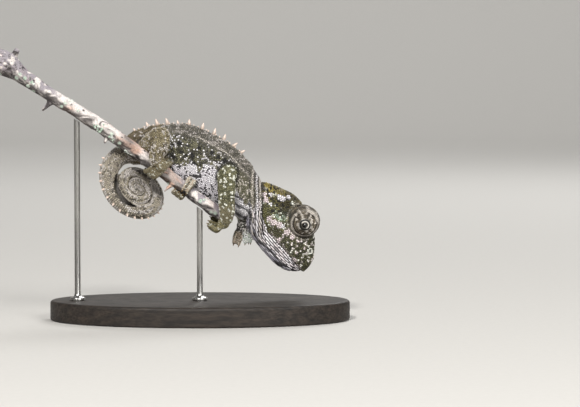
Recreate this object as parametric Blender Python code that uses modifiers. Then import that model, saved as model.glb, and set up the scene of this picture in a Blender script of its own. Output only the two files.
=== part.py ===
"""Young chameleon gripping a thorny twig, held over a flat base by two short rods.

A standalone Blender 4.5 script. The finished objects are in metres, +Z up. The animal looks along +X,
its right side is towards -Y, and the origin is the middle of the base's underside. Shapes are worked
out in millimetres and turned into metres when each object is made.
"""

import math

import bmesh
import bpy
import numpy as np
from mathutils import Matrix, Vector

MM = 0.001

# Driving dimensions, in millimetres and degrees
BODY_Y = 1.9  # middle plane of the trunk, which leans on the far side of the twig
TWIG_Y = -1.6  # the twig's own plane, beside the trunk's
HEAD_PITCH = 43.0  # the mouth line points this far below level
HEAD_YAW = 5.0  # the snout turns a little to the animal's left
SNOUT = (20.8, 10.4)  # x and z of the snout's tip before the yaw
TURRET_RADIUS = 3.2
TURRET_AT = (6.4, 6.8, 2.1)  # behind the snout, above the mouth line, out from the middle
PUPIL_RADIUS = 0.62
COIL_CENTRE = (-12.6, 26.2)
COIL_SLOPE = 135.0  # direction of the oval coil's long axis, where its angle is counted from
COIL_ALONG = (7.12, 4.84, 3.47, 2.61, 1.74, 1.2, 0.71, 0.5)  # reach along the long axis after each half turn
COIL_ACROSS = (4.7, 4.03, 2.52, 2.15, 1.28, 1.03, 0.46, 0.3, 0.15)  # across it, a quarter turn before each
COIL_THICK = (1.95, 1.32, 1.04, 0.8, 0.58, 0.47, 0.34, 0.24)  # half the tail's width after each half turn
COIL_LEAN = 1.18  # slope of the coil's plane: its lower edge is towards -Y
COIL_SHIFT, COIL_SETTLED = 0.42, 178.0  # its first turn moves this far to -Y, within about these degrees
TAIL_END = 1170.0
# The tail from the pelvis to the start of the coil: x, y, z, radius
TAIL_ROOT = (
    (-9.5, 1.9, 34.0, 2.9),
    (-11.8, 1.9, 33.9, 2.6),
    (-14.2, 2.4, 33.4, 2.2),
    (-16.2, 2.8, 32.7, 2.0),
)
BASE_LENGTH, BASE_WIDTH, BASE_HEIGHT = 60.0, 34.0, 4.0
BASE_EDGE = 0.6
ROD_RADIUS, ROD_FOOT_RADIUS, ROD_FOOT_HEIGHT = 0.6, 1.5, 0.8
ROD_X = {"stand_rod_rear": -24.4, "stand_rod_front": 0.0}
GAP = 0.12  # between neighbouring pieces
BODY_VOXEL, LIMB_VOXEL = 0.24, 0.17
BODY_TRIANGLES, LIMB_TRIANGLES, TWIG_TRIANGLES = 1650, 420, 420
NECK_X = (8.8, 11.1)  # where the neck is parted from the trunk and from the head
JAW_LENGTH = 14.5  # from the snout to where the mouth's cut ends, just inside the neck
GAZE_DOWN = 11.0  # the turrets look out to the sides and this much down along the head

# Trunk stations along the spine: x, z, height above, depth below, half width
TRUNK = (
    (-14.4, 33.4, 3.1, 2.4, 2.0),
    (-11.4, 34.2, 4.2, 3.7, 2.7),
    (-8.0, 34.2, 5.0, 4.5, 3.2),
    (-4.4, 33.3, 6.2, 4.9, 3.6),
    (-0.6, 31.4, 6.7, 5.2, 3.7),
    (3.4, 28.8, 6.7, 5.2, 3.4),
    (6.8, 25.9, 6.0, 4.8, 3.1),
    (9.0, 24.3, 5.0, 4.3, 2.9),
    (10.8, 23.0, 4.2, 3.9, 2.8),
)
# Head stations back from the snout: distance, lowest, highest, half width, narrowing of the roof
HEAD = (
    (-0.75, -0.2, 1.0, 0.7, 0.2),
    (-0.3, -1.0, 2.6, 1.4, 0.3),
    (0.8, -2.0, 4.0, 2.0, 0.35),
    (2.2, -3.0, 5.6, 2.5, 0.35),
    (4.5, -3.5, 7.3, 3.0, 0.35),
    (7.0, -3.4, 8.5, 3.3, 0.3),
    (9.0, -3.2, 9.1, 3.7, 0.3),
    (11.5, -2.75, 9.2, 4.0, 0.35),
    (13.6, -1.9, 8.6, 3.8, 0.5),
    (15.6, -0.3, 7.95, 3.0, 0.65),
    (17.2, 2.6, 7.3, 1.5, 0.7),
    (17.9, 4.8, 6.8, 0.6, 0.6),
)
# The twig's centreline from the cut end to the broken tip: x, z, radius
TWIG = (
    (-40.6, 52.2, 2.2),
    (-38.6, 51.2, 2.5),
    (-35.8, 49.2, 1.75),
    (-32.0, 46.6, 1.38),
    (-28.0, 44.0, 1.35),
    (-24.0, 41.6, 1.38),
    (-20.0, 39.0, 1.42),
    (-16.0, 36.2, 1.42),
    (-12.0, 33.3, 1.42),
    (-8.0, 30.3, 1.35),
    (-4.0, 27.2, 1.25),
    (-1.0, 24.9, 1.2),
    (1.4, 23.2, 1.3),
    (3.0, 21.9, 1.25),
    (3.9, 20.9, 0.9),
)
# Snags on the twig: foot x, foot z, y offset, tip x, tip z, radius at the foot and at the tip
SNAGS = (
    (-37.4, 51.6, -0.2, -36.3, 53.7, 0.9, 0.55),
    (-29.4, 43.9, 0.0, -31.1, 42.0, 0.95, 0.28),
    (-18.2, 37.2, -0.3, -18.8, 35.6, 0.7, 0.3),
    (-5.5, 27.4, -0.5, -6.9, 25.9, 0.8, 0.2),
)
# Limb bones, from the trunk outwards: x, y, z, radius
LIMBS = {
    "upper_arm_right": ((5.7, 0.4, 29.6, 1.75), (5.4, -2.2, 28.2, 1.85), (5.4, -4.0, 24.8, 1.65)),
    "forearm_right": ((5.4, -4.0, 24.8, 1.65), (5.5, -3.7, 22.6, 1.6), (5.4, -2.8, 20.5, 1.3)),
    "upper_arm_left": ((6.8, 3.6, 27.4, 1.5), (7.2, 5.4, 25.6, 1.45), (7.5, 6.2, 23.0, 1.35)),
    "forearm_left": ((7.5, 6.2, 23.0, 1.35), (8.0, 5.0, 21.6, 1.25), (8.5, 3.6, 19.9, 1.1)),
    "thigh_right": ((-11.2, -0.1, 34.0, 1.7), (-9.4, -1.6, 36.0, 1.8), (-7.4, -2.7, 37.0, 1.6)),
    "shin_right": ((-7.4, -2.7, 37.0, 1.6), (-7.9, -3.8, 34.4, 1.75), (-8.8, -4.1, 32.2, 1.3)),
    "thigh_left": ((-10.6, 3.9, 34.0, 1.7), (-8.2, 5.6, 34.6, 1.7), (-5.6, 6.6, 33.6, 1.4)),
    "shin_left": ((-5.6, 6.6, 33.6, 1.4), (-4.6, 5.2, 30.4, 1.35), (-3.4, 2.9, 26.9, 1.1)),
}
TOE_RADIUS = 0.52
# Toe bundles on the twig: place along it, palm angle, sweep, toe count, spread at root and tip, shift
GRIPS = {
    "foot_right": ((-8.0, 20.0, -138.0, 3, 0.85, 0.95, -1.2), (-7.7, 50.0, 120.0, 2, 0.85, 0.9, 0.2)),
    "foot_left": ((-2.8, 150.0, -155.0, 2, 0.95, 1.0, 0.3), (-3.1, 200.0, 115.0, 3, 0.85, 0.9, -0.2)),
}
PALMS = {"foot_right": (-8.0, 22.0, 1.35), "foot_left": (-3.2, 178.0, 1.25)}
# Front hands: the palm, then each toe's middle and tip
HANDS = {
    "hand_right": (
        (4.8, -2.0, 19.5, 1.25),
        ((3.3, -2.9, 18.3), (1.9, -2.6, 19.2)),
        ((3.4, -2.0, 17.9), (2.0, -1.7, 18.6)),
        ((3.5, -0.6, 18.9), (2.1, -0.9, 19.7)),
        ((3.7, 0.1, 19.5), (2.4, 0.0, 20.4)),
        ((4.0, 0.6, 20.3), (3.0, 0.5, 21.4)),
    ),
    "hand_left": (
        (8.4, 3.0, 18.7, 1.2),
        ((7.1, 2.6, 17.2), (6.7, 2.5, 15.3)),
        ((8.0, 2.1, 16.9), (7.7, 2.2, 15.0)),
        ((9.1, 2.0, 16.9), (9.0, 2.1, 15.4)),
        ((9.7, 2.6, 17.0), (10.0, 2.6, 15.5)),
        ((9.4, 3.5, 16.9), (9.6, 3.7, 15.5)),
    ),
}
# Each limb's pieces, and how far down the second half of its lower bone the last cut is
LIMB_CHAINS = (
    ("upper_arm_right", "forearm_right", "hand_right", 0.6),
    ("upper_arm_left", "forearm_left", "hand_left", 0.6),
    ("thigh_right", "shin_right", "foot_right", 0.15),
    ("thigh_left", "shin_left", "foot_left", 0.5),
)
# The spaced spines of the back: x of each, and its size against the largest
CREST = ((-12.95, 0.55), (-10.57, 0.8), (-8.67, 1.0), (-6.67, 1.0), (-4.48, 0.6), (-2.0, 0.9))
CREST += ((0.29, 1.0), (2.57, 1.0), (4.76, 0.95), (6.67, 0.9), (8.29, 0.8))
SPINE_HEIGHT, SPINE_RADIUS = 1.05, 0.46
TAIL_SPINE_STEP = 13.0  # degrees of coil between the tail's spines
SIDES = {"right": -1.0, "left": 1.0}


def smooth_path(points, per_span):
    """Points on a Catmull-Rom curve through the given ones, whatever numbers each of them holds."""
    given = np.array(points, float)
    padded = np.vstack([2 * given[0] - given[1], given, 2 * given[-1] - given[-2]])
    made = []
    for i in range(1, len(padded) - 2):
        before, here, there, after = padded[i - 1 : i + 3]
        for step in range(per_span):
            t = step / per_span
            made.append(
                here
                + 0.5 * t * (there - before)
                + t * t * (before - 2.5 * here + 2 * there - 0.5 * after)
                + t**3 * (1.5 * (here - there) + 0.5 * (after - before))
            )
    return np.array(made + [given[-1]])


def mesh_object(name, vertices, faces, collection):
    mesh = bpy.data.meshes.new(name)
    mesh.from_pydata([tuple(v) for v in vertices], [], faces)
    made = bpy.data.objects.new(name, mesh)
    collection.objects.link(made)
    return made


def loft(name, rings, collection):
    """A closed skin over rings of equal size, with a fan at each end."""
    count = len(rings[0])
    vertices = [v for ring in rings for v in ring]
    faces = []
    for level in range(len(rings) - 1):
        for k in range(count):
            a, b = level * count + k, level * count + (k + 1) % count
            faces.append((a, b, b + count, a + count))
    for ring, first, turn in ((rings[0], 0, 1), (rings[-1], (len(rings) - 1) * count, -1)):
        vertices.append(np.mean(ring, axis=0))
        for k in range(count):
            pair = (first + (k + 1) % count, first + k)[::turn]
            faces.append((pair[0], pair[1], len(vertices) - 1))
    made = mesh_object(name, vertices, faces, collection)
    face_outwards(made.data)
    return made


def face_outwards(mesh):
    cage = bmesh.new()
    cage.from_mesh(mesh)
    bmesh.ops.recalc_face_normals(cage, faces=cage.faces)
    cage.to_mesh(mesh)
    cage.free()


def tube(name, path, sides, collection, tangents=None):
    """A round tube along path, whose points are x, y, z, radius.

    Its ends are domed, or flat and square to the given tangents.
    """
    path = np.asarray(path, float)
    centres, radii = path[:, :3], path[:, 3]
    domed = tangents is None
    tangents = np.gradient(centres, axis=0) if domed else np.array(tangents, float)
    tangents /= np.linalg.norm(tangents, axis=1)[:, None]
    if domed:
        domes = [(math.cos(a), math.sin(a)) for a in np.radians((75, 45, 20))]
        start = [(centres[0] - tangents[0] * radii[0] * s, tangents[0], radii[0] * c) for c, s in domes]
        end = [(centres[-1] + tangents[-1] * radii[-1] * s, tangents[-1], radii[-1] * c) for c, s in domes]
        start.sort(key=lambda ring: ring[2])
        end.sort(key=lambda ring: -ring[2])
    else:
        start, end = [], []
    middle = list(zip(centres, tangents, radii))
    across = np.cross(tangents[0], (0.0, 1.0, 0.05))
    rings = []
    for centre, tangent, radius in start + middle + end:
        across = across - tangent * np.dot(across, tangent)
        across /= np.linalg.norm(across)
        side = np.cross(tangent, across)
        turns = [2 * math.pi * k / sides for k in range(sides)]
        rings.append([centre + radius * (across * math.cos(a) + side * math.sin(a)) for a in turns])
    return loft(name, rings, collection)


def ellipsoid(name, centre, radii, turn, collection, segments=24):
    """An ellipsoid turned by a 3 x 3 matrix."""
    cage = bmesh.new()
    bmesh.ops.create_uvsphere(cage, u_segments=segments, v_segments=segments // 2, radius=1.0)
    place = Matrix.Translation(centre) @ turn.to_4x4() @ Matrix.Diagonal((*radii, 1.0))
    bmesh.ops.transform(cage, matrix=place, verts=cage.verts)
    mesh = bpy.data.meshes.new(name)
    cage.to_mesh(mesh)
    cage.free()
    made = bpy.data.objects.new(name, mesh)
    collection.objects.link(made)
    return made


# The head's own frame: back from the snout, up from the mouth line, and out to the side
PITCH = math.radians(HEAD_PITCH)
FORWARD = Vector((math.cos(PITCH), 0.0, -math.sin(PITCH)))
UPWARD = Vector((math.sin(PITCH), 0.0, math.cos(PITCH)))
NECK_PIVOT = Vector((9.5, BODY_Y, 24.0))


def head_turn():
    """Turns the head about the neck."""
    about = Matrix.Translation(NECK_PIVOT) @ Matrix.Rotation(math.radians(HEAD_YAW), 4, "Z")
    return about @ Matrix.Translation(-NECK_PIVOT)


def head_point(back, up, out):
    """A point of the head; out is positive to the animal's left."""
    middle = Vector((SNOUT[0], BODY_Y, SNOUT[1])) - FORWARD * float(back) + UPWARD * float(up)
    return head_turn() @ (middle + Vector((0.0, out, 0.0)))


def head_axes():
    """Columns: forwards along the head, to its left, and up from the mouth line."""
    turn = head_turn().to_3x3()
    return turn @ Matrix((FORWARD, (0.0, 1.0, 0.0), UPWARD)).transposed()


def trunk_rings(sides=28, per_span=4):
    """Rings of the trunk, higher than wide, with a ridged back and a narrow belly."""
    stations = smooth_path(TRUNK, per_span)
    along = np.gradient(stations[:, :2], axis=0)
    rings = []
    for (x, z, above, below, half), (dx, dz) in zip(stations, along):
        length = math.hypot(dx, dz)
        up_x, up_z = -dz / length, dx / length
        ring = []
        for k in range(sides):
            angle = 2 * math.pi * k / sides
            rise, out = math.cos(angle), math.sin(angle)
            height = rise * (above if rise > 0 else below)
            narrow = 1 - 0.34 * max(rise, 0) ** 2 - 0.3 * max(-rise, 0) ** 2
            ring.append((x + up_x * height, BODY_Y + half * out * narrow, z + up_z * height))
        rings.append(ring)
    return rings


def head_rings(sides=28, per_span=3):
    """Rings of the head from the snout to the tip of the casque."""
    rings = []
    for back, low, high, half, roof in smooth_path(HEAD, per_span):
        ring = []
        for k in range(sides):
            angle = 2 * math.pi * k / sides
            rise, out = math.cos(angle), math.sin(angle)
            up = (low + high) / 2 + rise * (high - low) / 2
            out = math.copysign(abs(out) ** 0.85, out)
            narrow = 1 - roof * max(rise, 0) ** 1.5 - 0.3 * max(-rise, 0) ** 2
            ring.append(head_point(back, up, half * out * narrow))
        rings.append(ring)
    return rings


def coil_reach(reaches, half_turns):
    """The coil's reach along one axis, smooth between the half turns at which it is given."""
    logs = [math.log(reach) for reach in reaches]
    logs = [2 * logs[0] - logs[1], *logs, 2 * logs[-1] - logs[-2]]
    place = min(max(int(half_turns), 0), len(reaches) - 2)
    t = half_turns - place
    before, here, there, after = logs[place : place + 4]
    bend = before - 2.5 * here + 2 * there - 0.5 * after
    twist = 1.5 * (here - there) + 0.5 * (after - before)
    return math.exp(here + 0.5 * t * (there - before) + t * t * bend + t**3 * twist)


def coil_point(turned):
    """The tail's centre and radius after this many degrees of coil."""
    angle, slope = math.radians(turned), math.radians(COIL_SLOPE)
    along = coil_reach(COIL_ALONG, turned / 180) * math.cos(angle)
    across = -coil_reach(COIL_ACROSS, turned / 180 + 0.5) * math.sin(angle)
    return (
        COIL_CENTRE[0] + along * math.cos(slope) + across * math.sin(slope),
        BODY_Y + COIL_LEAN * across - COIL_SHIFT * (1 - math.exp(-turned / COIL_SETTLED)),
        COIL_CENTRE[1] + along * math.sin(slope) - across * math.cos(slope),
        coil_reach(COIL_THICK, turned / 180),
    )


def coil_axis():
    """The way square to the coil's plane."""
    slope = math.radians(COIL_SLOPE)
    along = Vector((math.cos(slope), 0.0, math.sin(slope)))
    return along.cross(Vector((math.sin(slope), COIL_LEAN, -math.cos(slope)))).normalized()


def twig_frame(x):
    """The twig at this x: its centre, direction, the way up from it, and its radius."""
    line = smooth_path(TWIG, 6)
    near = int(np.argmin(abs(line[:, 0] - x)))
    near = min(max(near, 1), len(line) - 2)
    centre = Vector((line[near, 0], TWIG_Y, line[near, 1]))
    dx, dz = line[near + 1, :2] - line[near - 1, :2]
    along = Vector((dx, 0.0, dz)).normalized()
    return centre, along, Vector((-along.z, 0.0, along.x)), line[near, 2]


def round_twig(x, angle, clear, shift=0.0):
    """A point clear of the twig's bark. Angle 0 is towards -Y, and 90 is above."""
    centre, along, up, radius = twig_frame(x)
    turn = math.radians(angle)
    way = Vector((0.0, -math.cos(turn), 0.0)) + up * math.sin(turn)
    return centre + along * shift + way * (radius + clear)


def gripping_toes(name):
    """Toe paths of a hind foot, in two bundles that close round the twig from both sides."""
    for x, start, sweep, count, root, tip, shift in GRIPS[name]:
        for toe in range(count):
            place = toe - (count - 1) / 2
            path = []
            for part in np.linspace(0.0, 1.0, 7):
                along = place * TOE_RADIUS * 2 * (root + (tip - root) * part) + shift * part
                thick = TOE_RADIUS * (1.0 + 0.18 * math.sin(math.pi * part) - 0.25 * part)
                at = round_twig(x, start + sweep * part, TOE_RADIUS + GAP + 0.12, along)
                path.append((*at, thick))
            yield path


def reaching_toes(name):
    """Toe paths of a front hand, from the palm through a knuckle to the tip."""
    palm, *toes = HANDS[name]
    for middle, tip in toes:
        root = Vector(palm[:3]).lerp(Vector(middle), 0.35)
        path = [(*root, TOE_RADIUS * 1.1), (*middle, TOE_RADIUS * 0.95), (*tip, TOE_RADIUS * 0.95)]
        yield smooth_path(path, 4)


def palm_of(name):
    if name in HANDS:
        return Vector(HANDS[name][0][:3]), HANDS[name][0][3]
    x, angle, radius = PALMS[name]
    return round_twig(x, angle, radius * 0.85), radius


def back_frame(x):
    """The ridge of the back above this x: its point, and the way out of the back."""
    stations = smooth_path(TRUNK, 12)
    along = np.gradient(stations[:, :2], axis=0)
    along /= np.linalg.norm(along, axis=1)[:, None]
    tops = stations[:, :2] + np.stack([-along[:, 1], along[:, 0]], axis=1) * stations[:, 2:3]
    near = int(np.argmin(abs(tops[:, 0] - x)))
    near = min(max(near, 1), len(tops) - 2)
    dx, dz = tops[near + 1] - tops[near - 1]
    out = Vector((-dz, 0.0, dx)).normalized()
    return Vector((tops[near, 0], BODY_Y, tops[near, 1])), out


def spine(name, foot, out, height, radius, collection):
    """A cone whose foot is sunk in the skin."""
    cage = bmesh.new()
    depth = height * 1.6
    bmesh.ops.create_cone(cage, segments=5, radius1=radius * 1.25, radius2=0.05, depth=depth, cap_ends=True)
    turn = Vector((0, 0, 1)).rotation_difference(out).to_matrix().to_4x4()
    place = Matrix.Translation(foot + out * (height - depth / 2)) @ turn
    bmesh.ops.transform(cage, matrix=place, verts=cage.verts)
    mesh = bpy.data.meshes.new(name)
    cage.to_mesh(mesh)
    cage.free()
    made = bpy.data.objects.new(name, mesh)
    collection.objects.link(made)
    return made


def crest_spines(collection):
    """The spaced spines of the back: the rear ones lean to the tail, the front ones to the head."""
    spines = []
    for number, (x, size) in enumerate(CREST):
        ridge, out = back_frame(x)
        lean = (out + Vector((-out.z, 0.0, out.x)) * (0.15 - 0.4 * (x > 5.0))).normalized()
        at = ridge - out * 0.15
        spines.append(
            spine(f"crest_{number}", at, lean, SPINE_HEIGHT * size, SPINE_RADIUS * size, collection)
        )
    return spines


def tail_spines(first, last, collection):
    """Small spines along the outer edge of one stretch of the coil."""
    spines = []
    for turned in np.arange(first + TAIL_SPINE_STEP / 2, last - TAIL_SPINE_STEP / 3, TAIL_SPINE_STEP):
        x, y, z, radius = coil_point(turned)
        before, after = (Vector(coil_point(turned + d)[:3]) for d in (-2, 2))
        along = (after - before).normalized()
        out = coil_axis().cross(along).normalized()
        foot = Vector((x, y, z)) + out * radius * 0.9
        size = min(1.0, radius / COIL_THICK[0] + 0.1)
        lean = (out + along * 0.3).normalized()
        spines.append(spine(f"tail_spine_{turned:.0f}", foot, lean, 0.62 * size, 0.3 * size, collection))
    return spines


def evaluated_copy(made, name, collection):
    """A mesh object with the modifiers of another applied."""
    graph = bpy.context.evaluated_depsgraph_get()
    mesh = bpy.data.meshes.new_from_object(made.evaluated_get(graph))
    copy = bpy.data.objects.new(name, mesh)
    copy.matrix_world = made.matrix_world
    collection.objects.link(copy)
    return copy


def discard(*objects):
    for made in objects:
        bpy.data.objects.remove(made, do_unlink=True)


def joined(name, objects, collection):
    """One object that holds the meshes of several, each still a closed shell."""
    cage = bmesh.new()
    for made in objects:
        cage.from_mesh(made.data)
    mesh = bpy.data.meshes.new(name)
    cage.to_mesh(mesh)
    cage.free()
    discard(*objects)
    made = bpy.data.objects.new(name, mesh)
    collection.objects.link(made)
    return made


def melted(name, objects, voxel, smoothing, triangles, collection):
    """Overlapping shells made one smooth body of about the given number of triangles."""
    lump = joined(name + "_lump", objects, collection)
    remesh = lump.modifiers.new("one body", "REMESH")
    remesh.mode = "VOXEL"
    remesh.voxel_size = voxel
    smooth = lump.modifiers.new("soft joins", "SMOOTH")
    smooth.factor = 0.5
    smooth.iterations = smoothing
    fine = evaluated_copy(lump, name + "_fine", collection)
    discard(lump)
    fewer = fine.modifiers.new("fewer faces", "DECIMATE")
    fine.data.calc_loop_triangles()
    fewer.ratio = triangles / len(fine.data.loop_triangles)
    made = evaluated_copy(fine, name, collection)
    discard(fine)
    return made


def boolean(made, others, operation, collection):
    """The object with a Boolean applied for each of the others, which are then discarded."""
    for other in others:
        step = made.modifiers.new(operation.lower(), "BOOLEAN")
        step.operation = operation
        step.solver = "EXACT"
        step.object = other
    result = evaluated_copy(made, made.name + "_cut", collection)
    name = made.name
    discard(made, *others)
    result.name = name
    return result


def slab(centre, normal, half_across, half_up, collection, up=(0.0, 1.0, 0.0)):
    """A thin rectangular cutter at right angles to normal."""
    normal = Vector(normal).normalized()
    first = Vector(up) - normal * normal.dot(Vector(up))
    first.normalize()
    second = normal.cross(first)
    cage = bmesh.new()
    bmesh.ops.create_cube(cage, size=1.0)
    turn = Matrix((first, second, normal)).transposed().to_4x4()
    size = Matrix.Diagonal((2 * half_across, 2 * half_up, GAP, 1.0))
    bmesh.ops.transform(cage, matrix=Matrix.Translation(centre) @ turn @ size, verts=cage.verts)
    mesh = bpy.data.meshes.new("cut")
    cage.to_mesh(mesh)
    cage.free()
    made = bpy.data.objects.new("cut", mesh)
    collection.objects.link(made)
    return made


def torso(work):
    """Trunk, neck, head and the root of the tail melted into one body, with the back's spines."""
    shells = [loft("trunk", trunk_rings(), work), loft("head", head_rings(), work)]
    for side in SIDES.values():
        centre = head_point(TURRET_AT[0], TURRET_AT[1], TURRET_AT[2] * side)
        shells.append(ellipsoid("turret", centre, (TURRET_RADIUS,) * 3, head_axes(), work))
    root = smooth_path((*TAIL_ROOT, coil_point(0), coil_point(24), coil_point(48)), 4)
    shells.append(tube("tail_root", root, 20, work))
    body = melted("torso", shells, BODY_VOXEL, 5, BODY_TRIANGLES, work)
    return boolean(body, crest_spines(work) + tail_spines(-4, 46, work), "UNION", work)


def swollen(path, extra):
    return [(x, y, z, radius + extra) for x, y, z, radius in path]


def twig_hollow(work):
    """The room the twig takes up in what lies against it."""
    line = smooth_path(TWIG, 3)
    return tube("hollow", [(x, TWIG_Y, z, r + GAP) for x, z, r in line], 14, work)


def limb_hollows(work):
    """The room the limbs, the hind feet and the twig take up in the torso."""
    paths = [smooth_path(bones, 2) for bones in LIMBS.values()]
    paths += [path for foot in GRIPS for path in gripping_toes(foot)]
    hollows = [tube("hollow", swollen(path, GAP), 10, work) for path in paths]
    for palm, radius in map(palm_of, GRIPS):
        hollows.append(ellipsoid("hollow", palm, (radius + GAP,) * 3, Matrix.Identity(3), work, 12))
    return [*hollows, twig_hollow(work)]


def torso_cuts(work):
    """Thin cuts on both sides of the neck, along the mouth and across the tail."""
    _, left, up = head_axes().col
    trunk_end, head_start = NECK_X
    tail_end = Vector(coil_point(50)[:3])
    tail_start = Vector(TAIL_ROOT[2][:3])
    return [
        slab(Vector((trunk_end, BODY_Y, 25.5)), (1.0, 0.0, -0.05), 5.5, 9.0, work),
        slab(Vector((head_start, BODY_Y, 24.0)), (1.0, 0.0, -0.03), 6.5, 11.0, work),
        slab(head_point(JAW_LENGTH / 2 - 1.5, 0.0, 0.0), up, 6.0, JAW_LENGTH / 2 + 1.5, work, left),
        slab(tail_start, (-1.0, 0.0, -0.25), 3.4, 3.6, work),
        slab(tail_end, Vector(coil_point(52)[:3]) - tail_end, 3.0, 3.0, work),
    ]


TORSO_MARKS = {
    "head": lambda: head_point(9.0, 8.7, 0.0),
    "lower_jaw": lambda: head_point(5.0, -2.6, 0.0),
    "neck": lambda: Vector((10.0, BODY_Y, 19.5)),
    "trunk": lambda: Vector((-2.0, BODY_Y, 38.4)),
    "tail_root": lambda: Vector(coil_point(10)[:3]),
}


def loose_pieces(made, collection):
    """Each loose part of a mesh as its own object."""
    cage = bmesh.new()
    cage.from_mesh(made.data)
    cage.verts.index_update()
    left = set(cage.verts)
    pieces = []
    while left:
        front, group = [left.pop()], set()
        while front:
            vert = front.pop()
            group.add(vert)
            linked = {edge.other_vert(vert) for edge in vert.link_edges} & left
            left -= linked
            front += linked
        index = {v: i for i, v in enumerate(sorted(group, key=lambda v: v.index))}
        faces = [tuple(index[v] for v in f.verts) for f in cage.faces if f.verts[0] in index]
        pieces.append(mesh_object("piece", [v.co for v in index], faces, collection))
    cage.free()
    discard(made)
    return pieces


def name_pieces(pieces, marks):
    """Names each piece after the marked point nearest to its surface, and drops crumbs."""
    named = {}
    for name, mark in marks.items():
        distance = [min((v.co - mark).length for v in piece.data.vertices) for piece in pieces]
        piece = pieces[int(np.argmin(distance))]
        if piece in named.values():
            raise RuntimeError(f"{name} is not parted from {piece.name}")
        piece.name = name
        named[name] = piece
    discard(*(p for p in pieces if p not in named.values()))
    return named


def limb_pieces(upper, lower, hand, wrist_at, work):
    """One limb melted into one body, then parted at its middle joint and above its hand or foot."""
    first, second = LIMBS[upper], LIMBS[lower]
    shells = [tube("limb", smooth_path(bones, 4), 16, work) for bones in (first, second)]
    palm, radius = palm_of(hand)
    shells.append(ellipsoid("palm", palm, (radius,) * 3, Matrix.Identity(3), work, 14))
    toes = gripping_toes(hand) if hand in GRIPS else reaching_toes(hand)
    shells += [tube("toe", path, 10, work) for path in toes]
    limb = melted(upper, shells, LIMB_VOXEL, 3, LIMB_TRIANGLES, work)
    places = [Vector(bone[:3]) for bone in (*first, *second[1:])]
    elbow, wrist = places[2], places[3].lerp(places[4], wrist_at)
    bend = (places[3] - places[1]).normalized()
    cuts = [slab(elbow, bend, 3.8, 3.8, work), slab(wrist, places[4] - places[3], 2.4, 2.4, work)]
    limb = boolean(limb, [*cuts, twig_hollow(work)], "DIFFERENCE", work)
    marks = {upper: places[0], lower: elbow.lerp(wrist, 0.6), hand: palm}
    return name_pieces(loose_pieces(limb, work), marks)


def half_space(centre, normal, reach, collection):
    """A cube that fills one side of a plane."""
    cage = bmesh.new()
    bmesh.ops.create_cube(cage, size=2 * reach)
    turn = Vector((0, 0, 1)).rotation_difference(normal).to_matrix().to_4x4()
    place = Matrix.Translation(centre + normal * reach) @ turn
    bmesh.ops.transform(cage, matrix=place, verts=cage.verts)
    mesh = bpy.data.meshes.new("half_space")
    cage.to_mesh(mesh)
    cage.free()
    made = bpy.data.objects.new("half_space", mesh)
    collection.objects.link(made)
    return made


def turret_pieces(head, parts, work):
    """Sets an eye turret in a round socket on each side of the head, with an eyeball in its mouth."""
    axes = head_axes()
    rim = 0.75  # the turrets stand free of the head beyond this much out from their middles
    for side, sign in SIDES.items():
        centre = head_point(TURRET_AT[0], TURRET_AT[1], TURRET_AT[2] * sign)
        outward = axes.col[1] * sign
        socket = ellipsoid("socket", centre, (TURRET_RADIUS + 0.3,) * 3, axes, work, 18)
        cap = half_space(centre + outward * rim, outward, 6.0, work)
        head = boolean(head, [boolean(socket, [cap], "INTERSECT", work)], "DIFFERENCE", work)
        turret = ellipsoid(f"eye_turret_{side}", centre, (TURRET_RADIUS,) * 3, axes, work, 18)
        cap = half_space(centre + outward * (rim + GAP), outward, 6.0, work)
        turret = boolean(turret, [cap], "INTERSECT", work)
        gaze = (outward - axes.col[2] * math.tan(math.radians(GAZE_DOWN))).normalized()
        mouth = centre + gaze * (TURRET_RADIUS - 0.45)
        hollow = ellipsoid("hollow", mouth, (PUPIL_RADIUS + 0.2,) * 3, axes, work, 12)
        parts[f"eye_turret_{side}"] = boolean(turret, [hollow], "DIFFERENCE", work)
        parts[f"eyeball_{side}"] = ellipsoid("eye", mouth, (PUPIL_RADIUS,) * 3, axes, work, 12)
    return head


def coil_pieces(work):
    """The coil beyond the tail's root in lengths that wind inwards, the outer ones with spines."""
    lengths = {}
    stops = (50.0, 135.0, 225.0, 330.0, 480.0, 720.0, TAIL_END)
    for number, (first, last) in enumerate(zip(stops, stops[1:]), 1):
        reach = coil_reach(COIL_ALONG, first / 180)
        start = first + math.degrees(GAP / reach)
        turns = np.linspace(start, last, round((last - start) / 18) + 1)
        tangents = [np.subtract(coil_point(t + 1), coil_point(t - 1))[:3] for t in turns]
        stretch = tube("stretch", [coil_point(t) for t in turns], 10, work, tangents)
        spines = tail_spines(start + 3, last - 3, work) if first < 225 else []
        lengths[f"tail_coil_{number}"] = boolean(stretch, spines, "UNION", work)
    return lengths


def twig_piece(work):
    """The twig with its swollen end and snags, cut square where the branch was taken off."""
    line = smooth_path(TWIG, 3)
    body = tube("twig", [(x, TWIG_Y, z, r) for x, z, r in line], 16, work)
    snags = []
    for foot_x, foot_z, offset, tip_x, tip_z, wide, narrow in SNAGS:
        foot, tip = Vector((foot_x, TWIG_Y + offset, foot_z)), Vector((tip_x, TWIG_Y + offset * 2, tip_z))
        steps = [(*foot.lerp(tip, t), wide + (narrow - wide) * t**0.6) for t in (0.0, 0.35, 0.7, 1.0)]
        snags.append(tube("snag", steps, 10, work))
    return melted("perch_twig", [body, *snags], BODY_VOXEL, 2, TWIG_TRIANGLES, work)


def turned(name, profile, segments, collection):
    """A solid of revolution about Z from (radius, height) points, top to bottom."""
    turns = [2 * math.pi * k / segments for k in range(segments)]
    rings = [[(r * math.cos(a), r * math.sin(a), z) for a in turns] for r, z in profile]
    return loft(name, rings, collection)


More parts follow.
